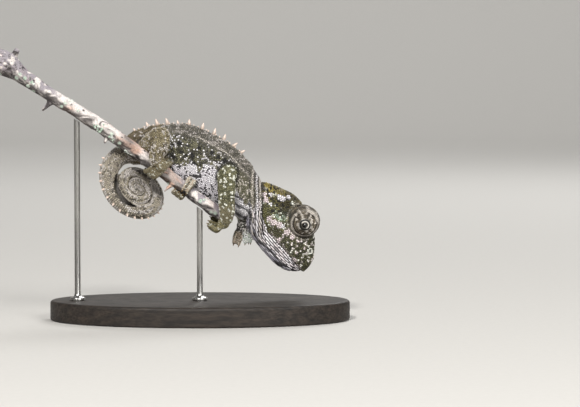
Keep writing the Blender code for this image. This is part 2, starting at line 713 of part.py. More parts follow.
def stand_pieces(work):
    """The oval base and the two rods that carry the twig."""
    cage = bmesh.new()
    bmesh.ops.create_cone(cage, segments=44, radius1=0.5, radius2=0.5, depth=1.0, cap_ends=True)
    size = Matrix.Diagonal((BASE_LENGTH, BASE_WIDTH, BASE_HEIGHT, 1.0))
    bmesh.ops.transform(cage, matrix=Matrix.Translation((0, 0, BASE_HEIGHT / 2)) @ size, verts=cage.verts)
    rim = [e for e in cage.edges if all(v.co.z > BASE_HEIGHT - 0.01 for v in e.verts)]
    bmesh.ops.bevel(cage, geom=rim, offset=BASE_EDGE, segments=2, affect="EDGES", profile=0.5)
    mesh = bpy.data.meshes.new("stand_base")
    cage.to_mesh(mesh)
    cage.free()
    base = bpy.data.objects.new("stand_base", mesh)
    work.objects.link(base)
    parts = {"stand_base": base}
    for name, x in ROD_X.items():
        centre, along, _, radius = twig_frame(x)
        slope = along.z / along.x
        top = centre.z + (x - centre.x) * slope - (radius + 2 * GAP) / along.x
        foot = BASE_HEIGHT + GAP / 2
        profile = (
            (ROD_RADIUS, top),
            (ROD_RADIUS, foot + ROD_FOOT_HEIGHT + 0.4),
            (ROD_RADIUS + 0.25, foot + ROD_FOOT_HEIGHT),
            (ROD_FOOT_RADIUS - 0.2, foot + ROD_FOOT_HEIGHT - 0.1),
            (ROD_FOOT_RADIUS, foot + ROD_FOOT_HEIGHT - 0.3),
            (ROD_FOOT_RADIUS, foot),
        )
        rod = turned(name, profile, 12, work)
        for vert in rod.data.vertices:  # the top is cut to the slope of the twig
            if vert.co.z > top - MM:
                vert.co.z += slope * vert.co.x
        rod.data.transform(Matrix.Translation((x, TWIG_Y, 0)))
        parts[name] = rod
    return parts


MATERIALS = {
    "skin": ((0.30, 0.29, 0.19), 0.62, 0.0),
    "eye": ((0.02, 0.02, 0.02), 0.12, 0.0),
    "bark": ((0.48, 0.40, 0.35), 0.85, 0.0),
    "base_wood": ((0.035, 0.03, 0.028), 0.4, 0.0),
    "rod_steel": ((0.55, 0.55, 0.55), 0.3, 1.0),
}


def material_of(name):
    if name.startswith("eyeball"):
        return "eye"
    if name.startswith("perch"):
        return "bark"
    if name.startswith("stand_rod"):
        return "rod_steel"
    return "base_wood" if name.startswith("stand") else "skin"


def make_materials():
    made = {}
    for name, (colour, roughness, metallic) in MATERIALS.items():
        material = bpy.data.materials.new(name)
        material.use_nodes = True
        shader = material.node_tree.nodes["Principled BSDF"]
        shader.inputs["Base Color"].default_value = (*colour, 1.0)
        shader.inputs["Roughness"].default_value = roughness
        shader.inputs["Metallic"].default_value = metallic
        made[name] = material
    return made


def new_collection(name, parent=None):
    made = bpy.data.collections.new(name)
    (parent or bpy.context.scene.collection).children.link(made)
    return made


def main():
    for old in list(bpy.data.objects):
        bpy.data.objects.remove(old, do_unlink=True)
    work = new_collection("chameleon")
    body = boolean(torso(work), limb_hollows(work), "DIFFERENCE", work)
    body = boolean(body, torso_cuts(work), "DIFFERENCE", work)
    parts = name_pieces(loose_pieces(body, work), {n: mark() for n, mark in TORSO_MARKS.items()})
    parts["head"] = turret_pieces(parts["head"], parts, work)
    for names in LIMB_CHAINS:
        parts.update(limb_pieces(*names, work))
    parts.update(coil_pieces(work))
    parts["perch_twig"] = twig_piece(work)
    parts.update(stand_pieces(work))
    materials = make_materials()
    for name, made in parts.items():
        made.name = name
        made.data.name = name
        made.data.transform(Matrix.Scale(MM, 4))
        made.data.materials.clear()
        made.data.materials.append(materials[material_of(name)])
        made.data.shade_smooth()


main()
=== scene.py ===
"""Young chameleon gripping a thorny twig on a display stand: the surface of every piece, and the stage.

Laid out as an add-on and run as a script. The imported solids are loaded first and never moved. Shapes are
worked out in millimetres and turned into metres when each mesh is made. The animal faces +X, its right
side is towards -Y.
"""

import functools
import math

import bmesh
import bpy
import numpy as np
from bpy.props import FloatProperty, FloatVectorProperty, IntProperty, PointerProperty
from mathutils import Matrix, Vector
from mathutils.bvhtree import BVHTree
from mathutils.kdtree import KDTree


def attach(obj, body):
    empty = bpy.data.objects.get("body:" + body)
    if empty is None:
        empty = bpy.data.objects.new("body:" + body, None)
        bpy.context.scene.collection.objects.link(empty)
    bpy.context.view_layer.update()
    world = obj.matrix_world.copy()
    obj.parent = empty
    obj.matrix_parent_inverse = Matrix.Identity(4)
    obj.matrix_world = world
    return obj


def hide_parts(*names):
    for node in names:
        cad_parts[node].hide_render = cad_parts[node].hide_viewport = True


bl_info = {
    "name": "Chameleon on a Twig",
    "version": (1, 0, 0),
    "blender": (4, 5, 0),
    "location": "3D View > Sidebar > Chameleon",
    "description": "Builds a young chameleon's skin, scales, eyes and twig, its stand and the studio",
    "category": "Object",
}

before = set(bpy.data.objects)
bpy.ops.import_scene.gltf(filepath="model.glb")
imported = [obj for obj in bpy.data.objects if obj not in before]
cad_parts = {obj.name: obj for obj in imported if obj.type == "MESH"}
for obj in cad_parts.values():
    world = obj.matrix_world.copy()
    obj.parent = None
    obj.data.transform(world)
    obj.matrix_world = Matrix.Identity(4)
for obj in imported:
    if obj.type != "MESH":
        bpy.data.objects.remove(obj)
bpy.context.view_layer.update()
MM = 0.001
TRIANGLE_LIMIT = 200_000  # for each piece

# The body plan, in millimetres and degrees, as in the solids
BODY_Y = 1.9
TWIG_Y = -1.6
HEAD_PITCH, HEAD_YAW = 43.0, 5.0
SNOUT = (20.8, 10.4)
TURRET_RADIUS = 3.2
TURRET_AT = (6.4, 6.8, 2.1)
PUPIL_RADIUS = 0.62
GAZE_DOWN, GAZE_FORWARD = 11.0, 6.0
COIL_CENTRE, COIL_SLOPE = (-12.6, 26.2), 135.0
COIL_ALONG = (7.12, 4.84, 3.47, 2.61, 1.74, 1.2, 0.71, 0.5)  # reach along the long axis after each half turn
COIL_ACROSS = (4.7, 4.03, 2.52, 2.15, 1.28, 1.03, 0.46, 0.3, 0.15)  # across it, a quarter turn before each
COIL_THICK = (1.95, 1.32, 1.04, 0.8, 0.58, 0.47, 0.34, 0.24)  # half the tail's width after each half turn
COIL_LEAN = 1.18  # slope of the coil's plane: its lower edge is towards -Y
COIL_SHIFT, COIL_SETTLED = 0.42, 178.0  # its first turn moves this far to -Y, within about these degrees
TAIL_END = 1170.0
COIL_START = 10.0  # degrees of coil from which the tail's scales stand in whorls
TURRET_SKIN = 0.25  # how near its surface a point belongs to a turret
TAIL_ROOT = (
    (-9.5, 1.9, 34.0, 2.9), (-11.8, 1.9, 33.9, 2.6), (-14.2, 2.4, 33.4, 2.2), (-16.2, 2.8, 32.7, 2.0),
)
# Trunk stations along the spine: x, z, height above, depth below, half width
TRUNK = (
    (-14.4, 33.4, 3.1, 2.4, 2.0), (-11.4, 34.2, 4.2, 3.7, 2.7), (-8.0, 34.2, 5.0, 4.5, 3.2),
    (-4.4, 33.3, 6.2, 4.9, 3.6), (-0.6, 31.4, 6.7, 5.2, 3.7), (3.4, 28.8, 6.7, 5.2, 3.4),
    (6.8, 25.9, 6.0, 4.8, 3.1), (9.0, 24.3, 5.0, 4.3, 2.9), (10.8, 23.0, 4.2, 3.9, 2.8),
)
# Head stations back from the snout: distance, lowest, highest, half width, narrowing of the roof
HEAD = (
    (-0.75, -0.2, 1.0, 0.7, 0.2), (-0.3, -1.0, 2.6, 1.4, 0.3), (0.8, -2.0, 4.0, 2.0, 0.35),
    (2.2, -3.0, 5.6, 2.5, 0.35), (4.5, -3.5, 7.3, 3.0, 0.35), (7.0, -3.4, 8.5, 3.3, 0.3),
    (9.0, -3.2, 9.1, 3.7, 0.3), (11.5, -2.75, 9.2, 4.0, 0.35), (13.6, -1.9, 8.6, 3.8, 0.5),
    (15.6, -0.3, 7.95, 3.0, 0.65), (17.2, 2.6, 7.3, 1.5, 0.7), (17.9, 4.8, 6.8, 0.6, 0.6),
)
# The mouth line and the fold that carries on from it behind the cheek: back from the snout, height
MOUTH = (
    (-0.3, -1.0), (0.2, -1.05), (1.3, -0.75), (2.9, -0.5), (5.0, -0.2), (8.3, 0.05), (10.8, 0.35),
    (13.2, 1.6), (14.2, 2.4), (15.8, 4.1),
)
MOUTH_END = 10.0
LIP_EDGE, THROAT_END = 0.05, 15.0  # the throat's top, over the mouth line, and how far back it ends
THROAT_ARC = 5.0  # length of skin from the mouth line to the middle of the throat at the cheek
THROAT_PITCH, THROAT_STRETCH = 1.5, 3.6  # a throat scale's length, and that length against its width
NOSTRIL = (1.4, 3.1)  # back, up
# Lines down the side of the neck: x, colour, width. The dark ones are painted shade in the neck's folds.
NECK_LINES = (
    (9.9, "groove", 0.14), (10.45, "turret_pale", 0.12), (10.9, "groove", 0.21), (11.3, "white", 0.13),
    (11.64, "groove", 0.15), (11.95, "turret_pale", 0.16), (12.4, "groove", 0.3),
)
# The raised crest from the turret to the back of the casque: back, up
CREST = ((8.4, 8.4), (9.9, 8.0), (12.0, 7.2), (13.9, 6.6), (15.6, 6.3), (17.0, 6.0))
# The twig's centreline from the cut end to the broken tip: x, z, radius
TWIG = (
    (-40.6, 52.2, 2.2), (-38.6, 51.2, 2.5), (-35.8, 49.2, 1.75), (-32.0, 46.6, 1.38), (-28.0, 44.0, 1.35),
    (-24.0, 41.6, 1.38), (-20.0, 39.0, 1.42), (-16.0, 36.2, 1.42), (-12.0, 33.3, 1.42), (-8.0, 30.3, 1.35),
    (-4.0, 27.2, 1.25), (-1.0, 24.9, 1.2), (1.4, 23.2, 1.3), (3.0, 21.9, 1.25), (3.9, 20.9, 0.9),
)
# Snags on the twig: foot x, foot z, y offset, tip x, tip z, radius at the foot and at the tip
SNAGS = (
    (-37.4, 51.6, -0.2, -36.3, 53.7, 0.9, 0.55), (-29.4, 43.9, 0.0, -31.1, 42.0, 0.95, 0.28),
    (-18.2, 37.2, -0.3, -18.8, 35.6, 0.7, 0.3), (-5.5, 27.4, -0.5, -6.9, 25.9, 0.8, 0.2),
)
# Limb bones from the trunk to the wrist or ankle: x, y, z, radius
LIMBS = {
    "arm_right": ((5.7, 0.4, 29.6, 1.75), (5.4, -2.2, 28.2, 1.85), (5.4, -4.0, 24.8, 1.65),
                  (5.5, -3.7, 22.6, 1.6), (5.4, -2.8, 20.5, 1.3)),
    "arm_left": ((6.8, 3.6, 27.4, 1.5), (7.2, 5.4, 25.6, 1.45), (7.5, 6.2, 23.0, 1.35),
                 (8.0, 5.0, 21.6, 1.25), (8.5, 3.6, 19.9, 1.1)),
    "leg_right": ((-11.2, -0.1, 34.0, 1.7), (-9.4, -1.6, 36.0, 1.8), (-7.4, -2.7, 37.0, 1.6),
                  (-7.9, -3.8, 34.4, 1.75), (-8.8, -4.1, 32.2, 1.3)),
    "leg_left": ((-10.6, 3.9, 34.0, 1.7), (-8.2, 5.6, 34.6, 1.7), (-5.6, 6.6, 33.6, 1.4),
                 (-4.6, 5.2, 30.4, 1.35), (-3.4, 2.9, 26.9, 1.1)),
}
TOE_RADIUS = 0.52
# Toe bundles on the twig: place along it, palm angle, sweep, toe count, spread at root and tip, shift
GRIPS = {
    "foot_right": ((-8.0, 20.0, -138.0, 3, 0.85, 0.95, -1.2), (-7.7, 50.0, 120.0, 2, 0.85, 0.9, 0.2)),
    "foot_left": ((-2.8, 150.0, -155.0, 2, 0.95, 1.0, 0.3), (-3.1, 200.0, 115.0, 3, 0.85, 0.9, -0.2)),
}
PALMS = {"foot_right": (-8.0, 22.0, 1.35), "foot_left": (-3.2, 178.0, 1.25)}
GAP = 0.12
# Front hands: the palm, then each toe's middle and tip
HANDS = {
    "hand_right": (
        (4.8, -2.0, 19.5, 1.25),
        ((3.3, -2.9, 18.3), (1.9, -2.6, 19.2)),
        ((3.4, -2.0, 17.9), (2.0, -1.7, 18.6)),
        ((3.5, -0.6, 18.9), (2.1, -0.9, 19.7)),
        ((3.7, 0.1, 19.5), (2.4, 0.0, 20.4)),
        ((4.0, 0.6, 20.3), (3.0, 0.5, 21.4)),
    ),
    "hand_left": (
        (8.4, 3.0, 18.7, 1.2),
        ((7.1, 2.6, 17.2), (6.7, 2.5, 15.3)),
        ((8.0, 2.1, 16.9), (7.7, 2.2, 15.0)),
        ((9.1, 2.0, 16.9), (9.0, 2.1, 15.4)),
        ((9.7, 2.6, 17.0), (10.0, 2.6, 15.5)),
        ((9.4, 3.5, 16.9), (9.6, 3.7, 15.5)),
    ),
}
# The spaced spines of the back: x of each, and its size against the largest
SPINES = ((-12.95, 0.55), (-10.57, 0.8), (-8.67, 1.0), (-6.67, 1.0), (-4.48, 0.6), (-2.0, 0.9))
SPINES += ((0.29, 1.0), (2.57, 1.0), (4.76, 0.95), (6.67, 0.9), (8.29, 0.8))
TAIL_SPINE_STEP = 13.0
# Pale tubercles: stretch of their pattern, spacing, seed
ARM_SPOTS, LEG_SPOTS = ((1, 0.8, 1), 0.88, 83), ((1, 1, 1), 0.9, 95)
HEX_CELL = 0.866  # area of a cell of evenly spread points, against the square of their spacing
PATCH = 0.0015  # radius of a scale's or a spine's patch on the bake map
EVEN = (1.0, 1.0, 1.0)
# Crusts of lichen: place along the twig, angle round it, lumps, spread, share of green
LICHEN = (
    (-19.6, -25, 26, 0.9, 0.8), (-26.0, 60, 16, 0.9, 0.2), (-33.0, 20, 18, 1.1, 0.3),
    (-17.0, -40, 12, 0.6, 0.5), (-13.6, -60, 12, 0.7, 0.1), (0.6, 20, 12, 0.6, 0.1),
    (-24.0, 200, 20, 1.0, 0.4), (-30.5, 150, 16, 0.9, 0.6),
)
BASE_LENGTH, BASE_WIDTH, BASE_HEIGHT = 60.0, 34.0, 4.0
ROD_X = {"stand_rod_rear": -24.4, "stand_rod_front": 0.0}
SIDES = {"right": -1.0, "left": 1.0}
FLESH_NODES = [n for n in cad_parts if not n.startswith(("eyeball", "perch", "stand"))]


# ---- colours and sizes a user may change


def linear(code):
    """Linear red, green and blue of an sRGB hex colour."""
    parts = [int(code[i : i + 2], 16) / 255 for i in (1, 3, 5)]
    return tuple(p / 12.92 if p <= 0.04045 else ((p + 0.055) / 1.055) ** 2.4 for p in parts)


def colour(name, description, code):
    return FloatVectorProperty(
        name=name, description=description, subtype="COLOR", size=3, min=0.0, max=1.0, default=linear(code)
    )


def length(name, description, millimetres):
    return FloatProperty(
        name=name, description=description, unit="LENGTH", precision=5, min=0.0, default=millimetres * MM
    )


class CoatSizes(bpy.types.PropertyGroup):
    """Sizes of the skin and what grows on it."""

    skin_step: length("Skin step", "Edge of the skin's faces", 0.19)
    coat_depth: length("Coat depth", "How far the skin lies under the tips of its scales", 0.12)
    trunk_scale: length("Trunk scale", "Spacing of the trunk's granules", 0.37)
    head_scale: length("Head scale", "Spacing of the head's tubercles", 0.43)
    limb_scale: length("Limb scale", "Spacing of the limbs' granules", 0.37)
    toe_scale: length("Toe scale", "Spacing of the toes' granules", 0.3)
    throat_row: length("Throat row", "Distance between the throat's rows of long scales", 0.42)
    spine_height: length("Spine height", "Height of the tallest spine on the back", 1.05)
    spine_radius: length("Spine radius", "Radius of that spine's foot", 0.46)
    scale_sides: IntProperty(name="Scale sides", description="Corners of each scale", default=8, min=5)
    rounds: IntProperty(name="Settling", description="Rounds in which scales push apart", default=9, min=0)


class CoatColours(bpy.types.PropertyGroup):
    """Colours of the skin and its scales."""

    olive: colour("Olive", "Flank between its blotches", "#7a775f")
    olive_dark: colour("Dark olive", "Shaded part of the flank", "#3f3d2d")
    blotch: colour("Blotch", "Near-black blotches of the flank", "#1d1c1a")
    grey: colour("Grey", "Band along the back", "#7f7a70")
    grey_pale: colour("Pale grey", "Streaks in that band", "#a7a09b")
    lilac: colour("Lilac", "Pale specks of the flank", "#cdc5d4")
    white: colour("White", "Lower flank and chest", "#f2eff4")
    brown: colour("Brown", "Rump", "#6f6247")
    khaki: colour("Khaki", "Hind legs", "#958b6f")
    khaki_dark: colour("Dark khaki", "Hind legs in their folds", "#5a4f38")
    arm: colour("Arm green", "Arms", "#7d7b5c")
    arm_dark: colour("Dark arm green", "Arms between their tubercles", "#45462c")
    tubercle: colour("Tubercle", "Pale tubercles", "#edeee2")
    yellow: colour("Yellow", "Back of the casque", "#9a8a44")
    casque: colour("Casque", "Casque under its crest", "#6b6637")
    cheek: colour("Cheek", "Green of the cheek", "#64623a")
    cheek_dark: colour("Dark cheek", "Dusky patch behind the turret", "#30342a")
    snout: colour("Snout", "Snout between its tubercles", "#55543a")
    mint: colour("Mint", "Pale green patch on the cheek", "#bccdb8")
    pink: colour("Pink white", "Pinkish white patches", "#efe0e2")
    dot: colour("Dot", "Black dots of the head", "#131209")
    turret: colour("Turret", "Eye turret", "#776d5c")
    turret_dark: colour("Dark turret", "Dark sectors and rings of the turret", "#332a20")
    turret_pale: colour("Pale turret", "Streaks and rings of the turret", "#d8d0c6")
    # groove is painted shade: it darkens the throat's grooves, the neck's folds, the mouth line and the
    # turrets' sockets.
    groove: colour("Groove", "Skin in the throat's grooves", "#211d1c")
    chin: colour("Chin", "Grey lilac under the jaw", "#96939f")
    tail: colour("Tail", "Outer side of the tail", "#9a917a")
    tail_dark: colour("Dark tail", "Tail in its folds", "#5a4c36")
    tail_pale: colour("Pale tail", "Pale bands of the tail", "#d0cac6")
    toe: colour("Toe", "Toes in the light", "#c9b8a4")
    toe_dark: colour("Dark toe", "Backs of the toes", "#6b5f42")
    hand: colour("Hand", "Palm of the free hand", "#4b4740")
    spine: colour("Spine", "Spines of the back", "#e3cfc1")
    spine_foot: colour("Spine foot", "Where a spine leaves the skin", "#7f6f62")
    claw: colour("Claw", "Claws", "#8a7048")


class EyeLooks(bpy.types.PropertyGroup):
    """The part of the eye that shows through the lids."""

    pupil: colour("Pupil", "Pupil", "#050505")
    iris: colour("Iris", "Thin ring of iris round the pupil", "#5a4322")
    lid: colour("Lid", "Rim of the lids", "#dcd7cf")


class TwigLooks(bpy.types.PropertyGroup):
    """Bark and what grows on it."""

    twig_step: length("Bark step", "Edge of the bark's faces", 0.17)
    # The bark's cream runs all round; shade darkens its underside as painted shade and paints a shadow across
    # it near the rump.
    cream: colour("Cream", "Weathered top of the bark", "#e6deda")
    blush: colour("Blush", "Pinkish stretches of bark", "#cdaa98")
    ash: colour("Ash", "Grey stretches of bark", "#8d8790")
    shade: colour("Shade", "Underside of the bark", "#4b4544")
    crack: colour("Crack", "Cracks and black dots", "#15110f")
    lichen: colour("Lichen", "Crust of white lichen", "#dfe5dd")
    lichen_mint: colour("Mint lichen", "Crust of green lichen", "#b4ccb8")


class StandLooks(bpy.types.PropertyGroup):
    """The display stand."""

    edge_round: length("Edge round", "Round on the base's upper edge", 0.6)
    rod_radius: length("Rod radius", "Radius of the rods", 0.6)
    rod_foot: length("Rod foot", "Radius of the rods' feet", 1.5)
    wood: colour("Ebonised beech", "Dark of the stained wood", "#1b1714")
    wood_pale: colour("Open grain", "Paler lines of the grain", "#3b322b")
    steel: colour("Stainless steel", "Rods", "#c4c3c0")


class StageLooks(bpy.types.PropertyGroup):
    """Backdrop, light and camera."""

    floor: colour("Floor", "Paper of the floor and backdrop", "#c6c4c0")
    camera_distance: length("Camera distance", "From the lens to the animal's plane", 450.0)
    view_width: length("View width", "Width of that plane that fills the picture", 116.0)
    camera_lift: FloatProperty(name="Camera lift", description="Degrees above level", default=3.0)


# ---- working shapes


def spline(before, here, there, after, t):
    """The Catmull-Rom curve between here and there, at t from 0 to 1."""
    bend = before - 2.5 * here + 2 * there - 0.5 * after
    twist = 1.5 * (here - there) + 0.5 * (after - before)
    return here + 0.5 * t * (there - before) + t * t * bend + t**3 * twist


def smooth_path(points, per_span):
    """Points on a Catmull-Rom curve through the given ones, whatever numbers each of them holds."""
    given = np.array(points, float)
    padded = np.vstack([2 * given[0] - given[1], given, 2 * given[-1] - given[-2]])
    made = [spline(*padded[i - 1 : i + 3], step / per_span) for i in range(1, len(padded) - 2)
            for step in range(per_span)]
    return np.array(made + [given[-1]])


def unit(vectors):
    """One vector, or each of a list of them, at a length of one."""
    if vectors.ndim == 1:
        return vectors / np.linalg.norm(vectors)
    return vectors / np.linalg.norm(vectors, axis=1)[:, None]


def run_along(path):
    """How far along its path each point is."""
    return np.concatenate([[0], np.cumsum(np.linalg.norm(np.diff(path[:, :3], axis=0), axis=1))])


def path_point(path, run, at):
    """The path's numbers at this distance along it."""
    return np.array([np.interp(at, run, column) for column in path.T])


def ring_faces(levels, sides):
    """Four-cornered faces between rings of equal size, from the first ring to the last."""
    level, k = np.meshgrid(np.arange(levels - 1), np.arange(sides), indexing="ij")
    a, b = level * sides + k, level * sides + (k + 1) % sides
    return np.stack([a, b, b + sides, a + sides], axis=-1).reshape(-1, 4)


def halved(quads):
    """Both triangles of each four-cornered face."""
    return quads[:, (0, 1, 2, 0, 2, 3)].reshape(-1, 3)


def loft(rings):
    """Vertices and faces of a closed skin over rings of equal size, with a fan at each end."""
    rings = np.asarray(rings, float)
    levels, count, _ = rings.shape
    vertices = np.vstack([rings.reshape(-1, 3), rings[0].mean(axis=0), rings[-1].mean(axis=0)])
    faces = ring_faces(levels, count).tolist()
    last = (levels - 1) * count
    for k in range(count):
        faces.append(((k + 1) % count, k, levels * count))
        faces.append((last + k, last + (k + 1) % count, levels * count + 1))
    return vertices, faces


def ring_round(centre, first, second, radius, sides):
    """Points of a circle in the plane of two unit directions."""
    turns = np.linspace(0, 2 * math.pi, sides, endpoint=False)[:, None]
    return centre + radius * (np.cos(turns) * first + np.sin(turns) * second)


def tube(path, sides):
    """A round tube with domed ends along path, whose points are x, y, z, radius."""
    path = np.asarray(path, float)
    centres, radii = path[:, :3], path[:, 3]
    tangents = unit(np.gradient(centres, axis=0))
    domes = [(math.cos(a), math.sin(a)) for a in np.radians((75, 55, 35, 15))]
    start = [(centres[0] - tangents[0] * radii[0] * s, tangents[0], radii[0] * c) for c, s in domes]
    end = [(centres[-1] + tangents[-1] * radii[-1] * s, tangents[-1], radii[-1] * c) for c, s in domes[::-1]]
    across = np.cross(tangents[0], (0.0, 1.0, 0.05))
    rings = []
    for centre, tangent, radius in start + list(zip(centres, tangents, radii)) + end:
        across = unit(across - tangent * np.dot(across, tangent))
        rings.append(ring_round(centre, across, np.cross(tangent, across), radius, sides))
    return loft(rings)


def ball(centre, radius, sides=40):
    heights = np.cos(np.linspace(0.04, math.pi - 0.04, sides // 2))
    x, y, z = np.eye(3)
    return loft([ring_round(np.array(centre) + z * radius * h, x, y, radius * math.sqrt(1 - h * h), sides)
                 for h in heights])


# The head's own frame: forwards, to its left and up from the mouth line
PITCH = math.radians(HEAD_PITCH)
FORWARD = Vector((math.cos(PITCH), 0.0, -math.sin(PITCH)))
UPWARD = Vector((math.sin(PITCH), 0.0, math.cos(PITCH)))
NECK_PIVOT = Vector((9.5, BODY_Y, 24.0))
HEAD_TURN = (
    Matrix.Translation(NECK_PIVOT) @ Matrix.Rotation(math.radians(HEAD_YAW), 4, "Z")
    @ Matrix.Translation(-NECK_PIVOT)
)
HEAD_AXES = np.array(HEAD_TURN.to_3x3() @ Matrix((FORWARD, (0.0, 1.0, 0.0), UPWARD)).transposed())


def head_point(back, up, out):
    """A point of the head; out is positive to the animal's left."""
    middle = Vector((SNOUT[0], BODY_Y, SNOUT[1])) - FORWARD * float(back) + UPWARD * float(up)
    return np.array(HEAD_TURN @ (middle + Vector((0.0, float(out), 0.0))))


def head_place(points):
    """Back from the snout, up from the mouth line and out to the left, for each point."""
    offset = (points - head_point(0, 0, 0)) @ HEAD_AXES
    return -offset[:, 0], offset[:, 2], offset[:, 1]


def turret_centre(side):
    return head_point(TURRET_AT[0], TURRET_AT[1], TURRET_AT[2] * side)


def gaze(side):
    """Unit direction in which the eye on this side looks."""
    forward, left, up = HEAD_AXES.T
    down, ahead = math.tan(math.radians(GAZE_DOWN)), math.tan(math.radians(GAZE_FORWARD))
    return unit(left * side - up * down + forward * ahead)


def gaze_axes(side):
    """Two directions across the gaze: towards the snout, and up."""
    way = gaze(side)
    forward, _, up = HEAD_AXES.T
    first = unit(forward - way * np.dot(forward, way))
    return first, unit(up - way * np.dot(up, way) - first * np.dot(up, first))


def trunk_rings(sides=72, per_span=10):
    stations = smooth_path(TRUNK, per_span)
    along = np.gradient(stations[:, :2], axis=0)
    rings = []
    for (x, z, above, below, half), (dx, dz) in zip(stations, along):
        size = math.hypot(dx, dz)
        ring = []
        for angle in np.linspace(0, 2 * math.pi, sides, endpoint=False):
            rise, out = math.cos(angle), math.sin(angle)
            height = rise * (above if rise > 0 else below)
            narrow = 1 - 0.34 * max(rise, 0) ** 2 - 0.3 * max(-rise, 0) ** 2
            ring.append((x - dz / size * height, BODY_Y + half * out * narrow, z + dx / size * height))
        rings.append(ring)
    return rings


def head_ring_point(station, angle):
    """A point of the head's surface; angle 0 is the roof and pi is under the jaw."""
    back, low, high, half, roof = station
    rise, out = math.cos(angle), math.sin(angle)
    out = math.copysign(abs(out) ** 0.85, out)
    narrow = 1 - roof * max(rise, 0) ** 1.5 - 0.3 * max(-rise, 0) ** 2
    return head_point(back, (low + high) / 2 + rise * (high - low) / 2, half * out * narrow)


def head_rings(sides=72, per_span=8):
    turns = np.linspace(0, 2 * math.pi, sides, endpoint=False)
    return [[head_ring_point(s, a) for a in turns] for s in smooth_path(HEAD, per_span)]


def coil_reach(reaches, half_turns):
    """The coil's reach along one axis, smooth between the half turns at which it is given."""
    logs = [math.log(reach) for reach in reaches]
    logs = [2 * logs[0] - logs[1], *logs, 2 * logs[-1] - logs[-2]]
    place = min(max(int(half_turns), 0), len(reaches) - 2)
    return math.exp(spline(*logs[place : place + 4], half_turns - place))


def coil_point(turned):
    """The tail's centre and radius after this many degrees of coil."""
    angle, slope = math.radians(turned), math.radians(COIL_SLOPE)
    along = coil_reach(COIL_ALONG, turned / 180) * math.cos(angle)
    across = -coil_reach(COIL_ACROSS, turned / 180 + 0.5) * math.sin(angle)
    return (
        COIL_CENTRE[0] + along * math.cos(slope) + across * math.sin(slope),
        BODY_Y + COIL_LEAN * across - COIL_SHIFT * (1 - math.exp(-turned / COIL_SETTLED)),
        COIL_CENTRE[1] + along * math.sin(slope) - across * math.cos(slope),
        coil_reach(COIL_THICK, turned / 180),
    )


def coil_axis():
    """The way square to the coil's plane."""
    slope = math.radians(COIL_SLOPE)
    along, across = (math.cos(slope), 0.0, math.sin(slope)), (math.sin(slope), COIL_LEAN, -math.cos(slope))
    return unit(np.cross(along, across))


def unwound(turned):
    """How far towards -Y each stretch of coil is held off while the skin is made, so no turns touch."""
    beyond = np.maximum(np.asarray(turned, float) - 40.0, 0.0) / 60.0
    return 0.7 * (beyond - 1 + np.exp(-beyond))


@functools.lru_cache
def tail_path():
    """The unwound tail: x, y, z, radius, degrees of coil (below zero in the root)."""
    root = smooth_path((*TAIL_ROOT, coil_point(0), coil_point(24)), 8)[:33]
    root = np.column_stack([root, np.linspace(-60.0, 0.0, len(root))])
    turns = np.arange(2.0, TAIL_END + 0.1, 3.0)
    coil = np.array([(*coil_point(t), t) for t in turns])
    path = np.vstack([root, coil])
    path[:, 1] -= unwound(path[:, 4])
    path[:, 3] += 0.12 * fade(path[:, 4], 60.0, 300.0)  # touching turns leave no slit under the scales
    return path


@functools.lru_cache
def twig_line():
    return smooth_path(TWIG, 12)


def twig_frame(x):
    """The twig at this x: its centre, direction, the way up from it, and its radius."""
    line = twig_line()
    here = min(max(int(np.argmin(abs(line[:, 0] - x))), 1), len(line) - 2)
    dx, dz = line[here + 1, :2] - line[here - 1, :2]
    along = np.array((dx, 0.0, dz)) / math.hypot(dx, dz)
    up = np.array((-along[2], 0, along[0]))
    return np.array((line[here, 0], TWIG_Y, line[here, 1])), along, up, line[here, 2]


def round_twig(x, angle, clear, shift=0.0):
    """A point clear of the twig's bark. Angle 0 is towards -Y and 90 is above."""
    centre, along, up, radius = twig_frame(x)
    turn = math.radians(angle)
    out = up * math.sin(turn) - np.array((0, math.cos(turn), 0))
    return centre + along * shift + out * (radius + clear)


def toe_paths(name):
    """The toes of a hand or foot, each x, y, z, radius from the palm to the tip."""
    if name in HANDS:
        palm, *toes = HANDS[name]
        for middle, tip in toes:
            root = np.array(palm[:3]) * 0.65 + np.array(middle) * 0.35
            path = [(*root, TOE_RADIUS * 1.1), (*middle, TOE_RADIUS * 0.95), (*tip, TOE_RADIUS * 0.9)]
            yield smooth_path(path, 6)
        return
    for x, start, sweep, count, root, tip, shift in GRIPS[name]:
        for toe in range(count):
            place = toe - (count - 1) / 2
            path = []
            for part in np.linspace(0.0, 1.0, 13):
                along = place * TOE_RADIUS * 2 * (root + (tip - root) * part) + shift * part
                thick = TOE_RADIUS * (1.0 + 0.18 * math.sin(math.pi * part) - 0.25 * part)
                path.append((*round_twig(x, start + sweep * part, TOE_RADIUS + GAP + 0.12, along), thick))
            yield np.array(path)


def palm_of(name):
    """The centre and radius of a hand's or a foot's palm."""
    if name in HANDS:
        return np.array(HANDS[name][0][:3]), HANDS[name][0][3]
    x, angle, radius = PALMS[name]
    return round_twig(x, angle, radius * 0.85), radius


# ---- patterns that repeat exactly


def lattice(cells, seed):
    """A repeatable value from 0 to 1 for each whole-numbered cell."""
    x, y, z = (cells[..., i].astype(np.int64) for i in range(3))
    mixed = (x * 374761393 + y * 668265263 + z * 2147483647 + seed * 974634777) & 0xFFFFFFFF
    mixed = ((mixed ^ (mixed >> 13)) * 1274126177) & 0xFFFFFFFF
    return ((mixed ^ (mixed >> 16)) & 0xFFFF) / 65535.0


def noise(points, size, seed=0):
    """Smooth noise from 0 to 1 whose lumps are about this many millimetres across."""
    scaled = points / size
    cell = np.floor(scaled).astype(np.int64)
    part = scaled - cell
    part = part * part * (3 - 2 * part)
    total = 0.0
    for corner in np.ndindex(2, 2, 2):
        weight = np.prod(np.where(np.array(corner, bool), part, 1 - part), axis=1)
        total = total + weight * lattice(cell + corner, seed)
    return total


